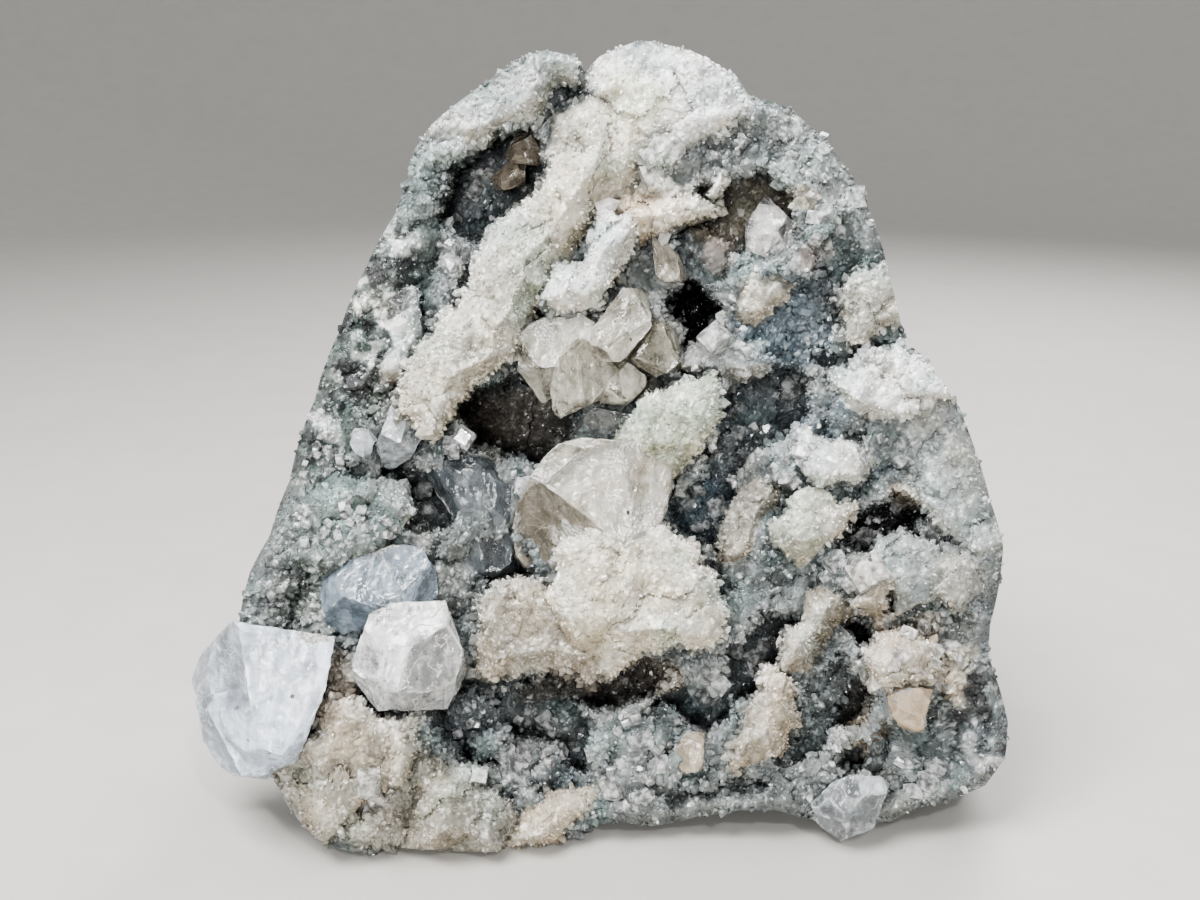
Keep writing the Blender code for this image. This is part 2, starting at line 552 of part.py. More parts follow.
def matrix_mesh():
    """The rock as one closed skin: relief in front, a wall drawn in towards the back, and the back."""
    angle, share = square_to_disc(FACE_CELLS)
    across, up = place(share, angle)
    front = on_sight(across, up, relief(across, up, share))
    back_bulge = BACK_DEPTH - BACK_BULGE * (1 - share**2)
    back_bulge += BROKEN_BACK * rock_noise(0.22 * across, 0.22 * up)
    back = on_sight(across * BACK_SHRINK, up * BACK_SHRINK, back_bulge)

    loop = rim_loop(FACE_CELLS)
    rows, columns = np.array(loop).T
    edge_across, edge_up = across[rows, columns], up[rows, columns]
    edge_out = relief(across, up, share)[rows, columns]
    steps = np.arange(1, WALL_RINGS)[:, None] / WALL_RINGS
    shrink = 1 - (1 - BACK_SHRINK) * steps**BACK_CURVE
    depth = edge_out + (back_bulge[rows, columns] - edge_out) * steps
    round_edge = WALL_RADIUS * angle[rows, columns] + 0 * depth
    worn = WORN_WALL * np.sin(math.pi * steps) * (1 + rock_noise(0.4 * round_edge, 0.5 * depth) / 2)
    wall = on_sight(edge_across * (shrink - worn), edge_up * (shrink - worn), depth)

    size = FACE_CELLS + 1
    front_index = np.arange(size * size).reshape(size, size)
    wall_start = size * size
    wall_index = wall_start + np.arange(len(loop) * (WALL_RINGS - 1)).reshape(WALL_RINGS - 1, -1)
    back_index = wall_start + wall_index.size + front_index
    points = np.concatenate([front.reshape(-1, 3), wall.reshape(-1, 3), back.reshape(-1, 3)])

    def quads(index):
        corners = [index[:-1, :-1], index[1:, :-1], index[1:, 1:], index[:-1, 1:]]
        return np.stack(corners, axis=-1).reshape(-1, 4)

    rings = np.vstack([front_index[rows, columns], wall_index, back_index[rows, columns]])
    rings = np.hstack([rings, rings[:, :1]])
    faces = np.vstack([quads(front_index), quads(rings), quads(back_index)[:, ::-1]])
    return points, faces


def new_object(name, mesh):
    """An object for the mesh, in the scene."""
    item = bpy.data.objects.new(name, mesh)
    bpy.context.scene.collection.objects.link(item)
    return item


def mesh_from(name, points, faces):
    """A mesh in metres with its faces turned outwards."""
    mesh = bpy.data.meshes.new(name)
    mesh.from_pydata((np.asarray(points) * MM).tolist(), [], np.asarray(faces).tolist())
    shell = bmesh.new()
    shell.from_mesh(mesh)
    bmesh.ops.recalc_face_normals(shell, faces=shell.faces)
    shell.to_mesh(mesh)
    shell.free()
    return mesh


def half_spaces(form, grow):
    """Outward normals and distances of the planes that bound one block, each moved out by grow."""
    outline = np.array(form["outline"], float)
    middle = outline.mean(0)
    half_size = np.hypot(*(outline - middle).T).mean()
    face_out = float(leaning_face(*middle)) + form["rise"]
    eye = on_sight(0.0, 0.0, EYE_BACK)
    core = on_sight(*middle, face_out - form["depth"] / 2)
    rim = on_sight(outline[:, 0], outline[:, 1], face_out) - eye
    normals = np.cross(rim, np.roll(rim, -1, axis=0))
    normals /= np.linalg.norm(normals, axis=1)[:, None]
    normals *= np.sign(((eye - core) * normals).sum(1))[:, None]
    distances = normals @ eye

    top = on_sight(*middle, face_out)
    for slope_across, slope_up, reach in form["faces"]:
        steep = math.hypot(slope_across, slope_up)
        point = top - (0, steep * reach * half_size, 0)
        normal = np.array([-slope_across, -1.0, -(FACE_LEAN + slope_up)])
        normal /= np.linalg.norm(normal)
        normals = np.vstack([normals, normal])
        distances = np.append(distances, normal @ point)
    root = -(face_out - form["depth"]) - SHIFT_Y
    normals = np.vstack([normals, (0, 1, 0), (0, 0, -1)])
    distances = np.append(distances, (root, -FLOOR_GAP))
    return normals, distances + grow


def corners(normals, distances):
    """Points where three of the planes meet and no other plane cuts them off."""
    triples = np.array(list(itertools.combinations(range(len(normals)), 3)))
    planes = normals[triples]
    meet = np.abs(np.linalg.det(planes)) > 1e-7
    points = np.linalg.solve(planes[meet], distances[triples[meet]][..., None])[..., 0]
    inside = (points @ normals.T <= distances + 1e-5).all(1)
    return np.unique(np.round(points[inside], 4), axis=0)


def block_object(name, form, grow=0.0):
    """One block as a convex solid."""
    shell = bmesh.new()
    for point in corners(*half_spaces(form, grow)) * MM:
        shell.verts.new(point)
    hull = bmesh.ops.convex_hull(shell, input=shell.verts)
    bmesh.ops.delete(shell, geom=hull["geom_interior"], context="VERTS")
    loose = [vertex for vertex in shell.verts if not vertex.link_faces]
    bmesh.ops.delete(shell, geom=loose, context="VERTS")
    bmesh.ops.recalc_face_normals(shell, faces=shell.faces)
    mesh = bpy.data.meshes.new(name)
    shell.to_mesh(mesh)
    shell.free()
    return new_object(name, mesh)


def bake(item):
    """Fixes the object's modifiers into its mesh."""
    bpy.context.view_layer.update()
    graph = bpy.context.evaluated_depsgraph_get()
    mesh = bpy.data.meshes.new_from_object(item.evaluated_get(graph))
    item.modifiers.clear()
    item.data = mesh


def combine(item, others, operation):
    """Joins the others to the item, or cuts them from it, and removes them."""
    for other in others:
        step = item.modifiers.new(other.name, "BOOLEAN")
        step.operation = operation
        step.solver = "EXACT"
        step.object = other
    bake(item)
    for other in others:
        bpy.data.objects.remove(other)


def keep_largest_body(item):
    """Drops crumbs that a cut has parted from the piece."""
    shell = bmesh.new()
    shell.from_mesh(item.data)
    unseen = set(shell.verts)
    bodies = []
    while unseen:
        body, edge = set(), [unseen.pop()]
        while edge:
            vertex = edge.pop()
            body.add(vertex)
            near = {link.other_vert(vertex) for link in vertex.link_edges} & unseen
            unseen -= near
            edge.extend(near)
        bodies.append(body)
    bodies.sort(key=len)
    for body in bodies[:-1]:
        bmesh.ops.delete(shell, geom=list(body), context="VERTS")
    shell.to_mesh(item.data)
    shell.free()


def make_matrix():
    """The rock, thinned to few faces and cut off flat where it stands."""
    matrix = new_object("matrix", mesh_from("matrix", *matrix_mesh()))
    thin = matrix.modifiers.new("thin", "DECIMATE")
    thin.ratio = MATRIX_TRIANGLES / (2 * len(matrix.data.polygons))
    bake(matrix)
    floor = bmesh.new()
    bmesh.ops.create_cube(floor, size=1.0)
    mesh = bpy.data.meshes.new("floor_cutter")
    floor.to_mesh(mesh)
    floor.free()
    mesh.transform(Matrix.Translation((0, 0, -FLOOR_BLOCK / 2)) @ Matrix.Scale(FLOOR_BLOCK, 4))
    combine(matrix, [new_object("floor_cutter", mesh)], "DIFFERENCE")
    return matrix


def make_piece(name, forms, earlier):
    """A crystal or growth: its blocks joined in one, kept clear of the pieces made before it."""
    first, *rest = [block_object(f"{name}_{i}" if i else name, form) for i, form in enumerate(forms)]
    combine(first, rest, "UNION")
    cutters = [block_object(f"cutter_{i}", form, GAP) for i, form in enumerate(earlier)]
    combine(first, cutters, "DIFFERENCE")
    keep_largest_body(first)
    return first


def paint(item, finish):
    """The piece's own plain material."""
    colour, roughness = COLOURS[finish]
    material = bpy.data.materials.new(item.name)
    material.use_nodes = True
    shader = material.node_tree.nodes["Principled BSDF"]
    shader.inputs["Base Color"].default_value = (*colour, 1)
    shader.inputs["Roughness"].default_value = roughness
    shader.inputs["Metallic"].default_value = 0.0
    item.data.materials.clear()
    item.data.materials.append(material)


def main():
    for item in list(bpy.data.objects):
        bpy.data.objects.remove(item)
    matrix = make_matrix()
    growths = [block_object(f"growth_{i}", form) for i, form in enumerate(GROWTHS)]
    combine(matrix, growths, "UNION")
    made = []
    for name, forms in CRYSTALS.items():
        paint(make_piece(name, forms, made), "crystal")
        made.extend(forms)
    sockets = [block_object(f"socket_{i}", form, GAP) for i, form in enumerate(made)]
    combine(matrix, sockets, "DIFFERENCE")
    keep_largest_body(matrix)
    paint(matrix, "matrix")


main()
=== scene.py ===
"""Looks of the apophyllite cluster: a fine quartz crust over dark rock, thousands of small
quartz points, and clear to milky apophyllite crystals, on a pale floor in soft studio light.

The front is laid out as in the part: each form has a place across and up the picture plane
of a viewer who stands before the stone, in millimetres, and a height out towards the viewer.
"""

import itertools
import math

import bpy
import numpy as np
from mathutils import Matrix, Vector


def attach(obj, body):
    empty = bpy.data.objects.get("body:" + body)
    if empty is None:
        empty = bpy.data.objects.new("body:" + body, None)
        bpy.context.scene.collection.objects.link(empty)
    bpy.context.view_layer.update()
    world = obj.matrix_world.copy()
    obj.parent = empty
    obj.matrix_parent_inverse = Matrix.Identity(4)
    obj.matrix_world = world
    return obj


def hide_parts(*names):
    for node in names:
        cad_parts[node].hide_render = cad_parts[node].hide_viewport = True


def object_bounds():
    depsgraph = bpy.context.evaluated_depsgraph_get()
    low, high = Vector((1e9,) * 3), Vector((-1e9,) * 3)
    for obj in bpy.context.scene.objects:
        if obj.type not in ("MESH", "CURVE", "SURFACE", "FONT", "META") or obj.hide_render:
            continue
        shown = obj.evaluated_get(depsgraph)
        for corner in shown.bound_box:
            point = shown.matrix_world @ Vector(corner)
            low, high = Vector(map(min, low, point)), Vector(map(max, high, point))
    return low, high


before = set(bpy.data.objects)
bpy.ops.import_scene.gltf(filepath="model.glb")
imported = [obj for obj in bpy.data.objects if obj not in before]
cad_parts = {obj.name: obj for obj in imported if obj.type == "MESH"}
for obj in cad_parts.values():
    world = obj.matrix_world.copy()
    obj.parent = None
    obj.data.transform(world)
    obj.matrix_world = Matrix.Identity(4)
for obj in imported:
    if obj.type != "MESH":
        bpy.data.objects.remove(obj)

START_LOW, START_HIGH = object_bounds()

bl_info = {
    "name": "Apophyllite Cluster",
    "version": (1, 0, 0),
    "blender": (4, 5, 0),
    "location": "3D Viewport > Sidebar > Cluster",
    "description": "Builds the crust, quartz points, crystals and studio of an apophyllite cluster",
    "category": "Object",
}

MM = 0.001
SEED = 11

# Where the viewer stands, in millimetres from the stone's middle
EYE_BACK = 300.0
EYE_HEIGHT = 185.0
LOOK_DOWN = math.radians(17.0)
PICTURE_DISTANCE = 312.5
SHIFT_X = 1.05
SHIFT_Y = 1.13

# The stone's face leans back, and swells at the lower left
FACE_OUT = 13.0
FACE_LEAN = -0.18
CORNER_SWELL = 7.0
BACK_DEPTH = -42.0
BACK_SHRINK = 0.82
BACK_WEAR = 0.05
BROKEN_BACK = 1.6
RIM_ROUNDING = 3.5
FACE_MIDDLE = (4.0, -8.0)
EDGE_DEPTH = 14.0
GROWTH_SPREAD = 0.9
BOX_MARGIN = 0.02
FACE_WIDTH = 200.0

# Millimetres of rim for a radian round the middle, and the steps from the rim back
ROUND_WIDTH = 95.0
EDGE_STEPS = 27
WALL_STEPS = 60

# The height range over which the back's wear fades out, so that the stone's foot stays whole
OFF_FLOOR = (-70.0, -45.0)

# How near a corner lies to a plane that it belongs to, and how far crystals end above the floor
ON_PLANE = 2e-3
FLOOR_GAP = 0.4

# Corners shaved off a crystal's block, how deep, and how far smooth waves bend its edges
CHIPS = 16
CHIP_DEPTH = 2.4
SWAY = 0.08

# Rim points to each side that share their colour, and how far light scatters in the crust
RIM_SHARED = 24
CRUST_SOFT = 0.6
QUARTZ_IOR = 1.544
APOPHYLLITE_IOR = 1.536
CRUST_QUARTERS = ("upper_left", "upper_right", "lower_left", "lower_right")

# The floor, in metres: its flat part, its whole radius and how high its rim climbs
FLOOR_CELLS = 64
FLOOR_FLAT = 1.3
FLOOR_RADIUS = 2.1
FLOOR_RISE = 0.6

# The camera's lens, the height that the lamps aim at, and the studio's even light
LENS = 37.5
SENSOR_WIDTH = 36.0
LAMP_AIM = 0.09
STUDIO_LIGHT = 0.50

# Soft lights: name, place, size and power
LIGHTS = (
    ("key", (-0.30, -0.28, 0.80), 0.40, 15.0),
    ("front", (-0.14, -0.95, 0.32), 0.24, 6.5),
    ("rear", (0.35, 0.65, 0.65), 0.5, 8.0),
    ("spark", (0.22, -0.75, 0.80), 0.04, 4.0),
)

# Forms of the rock face, each laid over those before it: name, across, up,
# half length, half width, turn in degrees, height over the leaning face
FORMS = (
    ("crown", 15.0, 90.0, 24.0, 12.0, -8, 5.0),
    ("crown dip", 9.3, 86.8, 8.0, 8.5, 70, 1.5),
    ("crown seam", -4.5, 90.0, 3.5, 8.0, 75, -2.0),
    ("left arc", -34.0, 84.0, 18.0, 6.0, 38, 5.0),
    ("bridge", 7.0, 68.0, 18.0, 12.0, 25, 6.0),
    ("bridge dip", 25.0, 71.0, 6.5, 7.0, 0, 2.5),
    ("arch lip", 24.0, 60.0, 17.0, 4.5, 22, 6.5),
    ("right shoulder", 56.0, 62.0, 15.0, 13.0, -55, 5.0),
    ("upper left hollow", -29.3, 61.3, 23.0, 11.5, 68, -24.0),
    ("hollow step", -33.5, 46.5, 7.0, 5.5, 40, -9.0),
    ("left shelf", -47.0, 36.0, 21.0, 9.0, 68, -1.0),
    ("arch pit", 34.0, 58.5, 14.5, 11.0, 25, -17.0),
    ("arch pit wall", 27.5, 47.5, 8.0, 8.0, 0, -9.0),
    ("black hole", 24.3, 33.3, 9.0, 6.5, 110, -30.0),
    ("black slit", 24.0, 22.5, 5.0, 2.5, 70, -24.0),
    ("smooth face", 49.3, 32.0, 12.0, 11.0, -40, -7.0),
    ("shoulder dip", 61.0, 48.0, 10.0, 6.5, 75, -6.0),
    ("shadow cleft", 64.5, 23.5, 13.5, 4.0, -4, -13.0),
    ("middle cavity", 40.5, 10.5, 14.0, 10.5, 35, -21.0),
    ("middle cavity foot", 33.0, -1.5, 8.0, 7.0, 60, -13.0),
    ("right lobe", 76.0, 0.0, 26.0, 18.0, -58, 2.0),
    ("right lobe brow", 70.0, 17.0, 11.0, 6.5, -8, 8.0),
    ("right tuft", 59.0, -2.8, 6.0, 5.0, 20, 6.0),
    ("right plain", 87.0, -12.0, 13.0, 12.0, -60, 4.0),
    ("right hollow", 70.0, -20.5, 11.5, 8.0, 28, -16.0),
    ("right hollow flank", 81.5, -21.0, 5.0, 6.0, 60, -5.0),
    ("warm stain rise", 91.5, -33.0, 8.5, 10.0, 70, 2.5),
    ("sparkle bank", 61.0, -32.0, 8.5, 5.0, -10, 3.0),
    ("right bank", 86.0, -49.0, 11.0, 8.0, -30, 2.0),
    ("deep blue face", 26.8, -16.3, 10.5, 9.0, 40, -14.0),
    ("centre cavity", -20.0, 8.5, 15.0, 11.5, 15, -28.0),
    ("left pit", -45.5, -12.0, 12.0, 8.0, -48, -15.0),
    ("left bank", -66.0, -20.0, 17.0, 10.0, 8, 1.0),
    ("left bank foot", -76.0, -37.0, 12.0, 8.0, -15, -1.0),
    ("dark gap", -23.5, -31.5, 5.0, 8.0, 0, -18.0),
    ("lower left pit", -21.0, -69.5, 24.0, 13.5, -22, -18.0),
    ("pit bank", -17.0, -78.5, 14.0, 6.0, -12, -5.0),
    ("plate shadow", 0.0, -57.0, 17.0, 6.0, 12, -18.0),
    ("lower nook", 17.5, -64.0, 8.0, 6.0, 20, -17.0),
    ("lower lumps", 9.0, -74.5, 12.5, 8.5, -10, 0.0),
    ("dark channel", 38.0, -51.5, 13.5, 6.0, 52, -19.0),
    ("channel foot", 27.0, -66.0, 7.0, 6.0, 40, -14.0),
    ("ridge shade", 53.0, -66.0, 14.0, 7.0, 60, -9.0),
    ("small nook", 64.0, -45.5, 4.5, 3.5, 0, -14.0),
    ("brown hollow", 63.0, -63.0, 7.5, 6.0, 60, -17.0),
    ("brown hollow foot", 62.0, -77.0, 5.0, 3.5, 20, -14.0),
    ("right foot slab", 84.5, -75.0, 19.0, 10.5, 12, -5.0),
    ("bottom cleft", 27.0, -86.0, 14.0, 3.5, 5, -8.0),
    ("foot mound", -56.0, -87.0, 30.0, 13.0, -12, 5.0),
    ("crystal bed", -67.0, -62.0, 9.0, 15.0, 0, 3.0),
    ("hanging bed", 0.0, 24.0, 15.0, 9.0, 20, 5.0),
)

OUTLINE = (
    (-13.8, 100.0), (-6.3, 98.3), (-3.8, 94.5), (0.0, 98.5), (10.0, 102.5), (22.5, 100.0),
    (33.8, 93.8), (37.0, 88.8), (47.5, 85.3), (57.5, 76.0), (65.0, 65.0), (70.0, 52.5),
    (72.5, 42.5), (75.0, 32.5), (76.3, 26.3), (82.5, 21.3), (88.8, 12.5), (93.8, 0.0),
    (97.5, -12.5), (100.8, -23.8), (100.0, -32.5), (97.5, -43.8), (97.0, -51.3), (100.0, -60.0),
    (102.0, -68.0), (101.3, -76.8), (96.3, -83.8), (87.5, -87.5), (80.0, -89.0), (72.5, -93.0),
    (62.5, -93.8), (53.8, -92.5), (43.8, -90.0), (35.0, -90.0), (25.0, -91.5), (12.5, -94.0),
    (5.0, -92.8), (0.0, -93.5), (-6.3, -97.0), (-17.5, -99.5), (-30.0, -100.5), (-40.0, -100.0),
    (-50.0, -99.5), (-62.5, -100.5), (-71.3, -97.0), (-77.5, -90.0), (-81.3, -82.5),
    (-84.5, -73.8), (-87.5, -62.5), (-90.5, -50.0), (-90.0, -41.3), (-87.5, -30.5),
    (-82.5, -21.3), (-77.5, -7.5), (-71.3, 12.5), (-65.0, 30.0), (-58.8, 45.0), (-51.3, 58.8),
    (-48.8, 65.5), (-46.3, 75.0), (-42.0, 81.5), (-35.0, 87.3), (-27.5, 92.5), (-21.3, 97.5),
)

DOME = ((0, 0, 0), (0.7, 0, 0.45), (-0.7, 0, 0.45), (0, 0.7, 0.45), (0, -0.7, 0.45))
LOW_DOME = ((0, 0, 0), (0.4, 0, 0.4), (-0.4, 0, 0.4), (0, 0.4, 0.4), (0, -0.4, 0.4))

# The crystals' blocks: height over the leaning face, depth, flat faces as slope across, slope up and
# how far from the middle each begins, and the outline in the picture plane. Tones and chips are a
# block's own where they are given. A given tone makes a face milkier and paler, or clearer, warmer
# and darker: partly the face's own milkiness, partly painted sheen on faces that catch the light and
# painted shade on faces turned away.
CRYSTALS = {
    "corner_crystal": (
        dict(rise=13, depth=26, tones=(1.0, 0.35, 0.6, 0.8),
             faces=((-0.15, -0.15, 0), (0.85, 0.0, 0.12), (0.3, 0.9, 0.62), (-0.6, 0.2, 0.6)), outline=(
            (-92, -42.5), (-66, -46.5), (-68.5, -60), (-75, -77), (-82, -80.5), (-86, -78),
            (-97.5, -69), (-103, -59), (-100, -51))),
        dict(rise=5, depth=20, faces=((0.1, 0.2, 0), (0.8, 0.4, 0.3)), outline=(
            (-101.5, -62), (-99.5, -72.5), (-95.5, -79), (-92, -81.5), (-84, -82.5), (-77, -81),
            (-72, -70), (-85, -58))),
    ),
    "knuckle_crystal": (
        dict(rise=15, depth=26, tones=(0.9, 0.2, 0.7, 0.3, 0.4),
             faces=((0, -0.1, 0), (-0.75, 0.1, 0.35), (0.6, -0.2, 0.4), (0.1, -0.8, 0.4), (-0.2, 0.8, 0.45)),
             outline=(
            (-62.3, -52.5), (-58, -41), (-52, -37.8), (-38.5, -37.3), (-35.5, -45.5), (-32.8, -54),
            (-35, -60), (-38, -65), (-45.5, -65.5), (-56, -65.5), (-61.8, -58))),
    ),
    "blue_tablet": (
        dict(rise=8, depth=18,
             faces=((0.05, -0.45, 0), (-0.8, 0.1, 0.6), (0.3, 0.5, 0.5), (0.7, -0.3, 0.55)), outline=(
            (-71, -31), (-61.5, -27), (-52, -23.4), (-40.8, -24.5), (-40.5, -30), (-37, -35),
            (-42, -40), (-64.8, -46.5), (-71.5, -44.5), (-70.3, -37))),
    ),
    "twin_crystals": (
        dict(rise=9, depth=17, faces=((0, -0.3, 0), (-0.6, 0.1, 0.5), (0.1, 0.8, 0.25)), outline=(
            (-55.5, 10.2), (-53, 12.4), (-47.5, 12), (-45, 9.9), (-44, 4), (-46.3, -1), (-48.5, -4.5),
            (-52.7, -5.3), (-55.3, -4.2), (-56.3, 2))),
        dict(rise=9, depth=15, faces=((0.1, 0, 0), (0.7, 0.5, 0.6), (-0.7, 0.5, 0.6)), outline=(
            (-61.5, 5.5), (-57.5, 5.4), (-54.7, 0.5), (-55, -1), (-57.8, -3), (-61.3, -1), (-63, 1.5))),
    ),
    "smoky_crystal": (
        dict(rise=5, depth=18, faces=LOW_DOME, outline=(
            (-45.5, -3), (-37.5, 0), (-27.5, -2.5), (-20, -7.5), (-19.5, -15), (-25, -22.5),
            (-36.5, -17.5), (-40.8, -11.3))),
        dict(rise=2, depth=15, faces=((0, 0.1, 0), (0.5, 0.2, 0.5), (-0.5, 0.1, 0.6)), outline=(
            (-36.5, -16), (-22.5, -14), (-19.8, -30), (-26.3, -32.3), (-36.5, -30.5), (-38.3, -24))),
    ),
    "centre_cluster": (
        dict(rise=16, depth=36, chips=5, tones=(1.0, 0.75, 0.9, 0.1),
             faces=((0, -0.12, 0), (-0.5, -0.2, 0.55), (0.1, -0.7, 0.5), (0.5, 0.55, 0.12)), outline=(
            (-14.8, -2), (-10.8, 2), (-4, 3.3), (10, 2.5), (19, -3.3), (18.5, -10), (16.3, -17.5),
            (10, -23.8), (-10, -32.5), (-17.5, -32), (-22, -26.3), (-22.3, -20), (-20.8, -12.5),
            (-18.8, -7.5))),
    ),
    "hanging_crystals": (
        dict(rise=13, depth=30, faces=((0.1, -0.3, 0), (0.6, 0.1, 0.5), (0, 0.8, 0.1)), outline=(
            (-21, 28.3), (-18.5, 31.8), (-8.5, 35.8), (0, 32.5), (0, 20), (-6.3, 16.3), (-13, 11.8),
            (-14.8, 11.5), (-20.8, 19.5))),
        dict(rise=14, depth=28, faces=((0.3, 0.25, 0), (-0.6, 0.1, 0)), outline=(
            (-6.3, 28.8), (2.5, 25), (6.3, 21.3), (-0.5, 12), (-6, 9.5), (-10.8, 7.3), (-13, 11.8),
            (-13, 16.3), (-10, 25))),
        dict(rise=11, depth=26, faces=((0, 0.2, 0), (-0.5, 0.4, 0.2)), outline=(
            (6.5, 22.5), (12.8, 17.8), (12, 16), (7, 10.8), (-0.5, 11.5), (2, 19.8))),
        dict(rise=15, depth=30, faces=((-0.1, -0.1, 0), (0.5, -0.2, 0.8)), outline=(
            (-2.5, 30), (5.8, 40.8), (10.5, 40.8), (12.5, 38.3), (13.3, 31.3), (7, 23.5), (5.3, 22),
            (0.8, 22), (-2.3, 24.5))),
        dict(rise=8, depth=26, faces=((-0.2, 0.1, 0), (-0.8, 0, 0.4)), outline=(
            (12.8, 31.3), (17.3, 32.6), (19.5, 28.6), (21, 24), (21.3, 19.6), (18.7, 17.5),
            (13.8, 17.8), (7, 23.3))),
    ),
    "clear_slab": (
        dict(rise=8, depth=26, faces=((-0.15, -0.1, 0), (-0.7, 0.1, 0.6)), outline=(
            (8.3, 53.5), (14.8, 54.5), (19.3, 49.5), (22.3, 43.3), (23.5, 37.5), (22.8, 34), (20, 32.2),
            (12.8, 34), (12.2, 42), (6, 42), (7, 47.5))),
    ),
    "tip_shadow_crystal": (
        dict(rise=2, depth=24, faces=((0, 0.2, 0), (0.5, 0.1, 0.5)), outline=(
            (-6.8, 6.8), (-5.5, 3), (4.3, 3), (10, 10), (7, 10.3), (-1.5, 10.6))),
    ),
    "pyramid_crystal": (
        dict(rise=4, depth=22,
             faces=((0.15, 0, 0), (-0.75, -0.2, 0.15), (0, -0.9, 0.35), (1.4, -0.3, 0.75)), outline=(
            (41.3, 64.3), (36, 56.5), (36.5, 48.5), (39.3, 46.6), (47.5, 46.9), (50.5, 50), (50, 55.5),
            (47.8, 58))),
    ),
    "crown_crystal": (
        dict(rise=10, depth=16, faces=((0.2, -0.3, 0), (-0.5, 0.1, 0.3), (0.1, 0.6, 0.4)), outline=(
            (11, 79.1), (12.9, 80.3), (17.2, 79.1), (19.5, 73.4), (18.1, 68.6), (12.9, 67.2), (10, 71))),
    ),
    "pit_crystals": (
        dict(rise=-6, depth=20, faces=((0.3, -0.2, 0), (-0.6, -0.1, 0.2)), outline=(
            (-20.2, 80.8), (-16.1, 82), (-12.1, 77.3), (-15, 71), (-21.9, 71.6), (-24.7, 73.3))),
        dict(rise=-9, depth=20, faces=LOW_DOME, outline=(
            (-27.6, 68.2), (-23, 72.2), (-18.5, 71.9), (-18.6, 65.9), (-26.5, 64.1))),
    ),
    "peach_crystal": (
        dict(rise=8, depth=20, faces=((0, 0.1, 0), (-0.6, 0.1, 0.6), (0.3, 0.6, 0.5)), outline=(
            (71.5, -59.5), (77, -58.4), (84.5, -60), (85, -64.4), (82.3, -70.9), (74.8, -69.8),
            (72, -64.9))),
    ),
    "toe_crystal": (
        dict(rise=8, depth=24,
             faces=((0.1, -0.35, 0), (0.6, 0.1, 0.3), (-0.5, -0.1, 0.4), (0.1, 0.7, 0.4)), outline=(
            (61.8, -81.2), (69.9, -81.2), (74.8, -85), (71.5, -92.5), (67.7, -96.3), (61.2, -98.3),
            (56.9, -96.3), (53, -92), (52.5, -88.2), (58, -82.8))),
    ),
    "hex_crystal": (
        dict(rise=5, depth=18, faces=((0, -0.1, 0), (-0.9, 0, 0.6), (0.6, 0.5, 0.6)), outline=(
            (21.8, -69.9), (26.4, -70.5), (27.8, -72.8), (27.5, -79.7), (21.2, -81.4), (18.3, -78.5),
            (18.9, -73.9))),
    ),
}

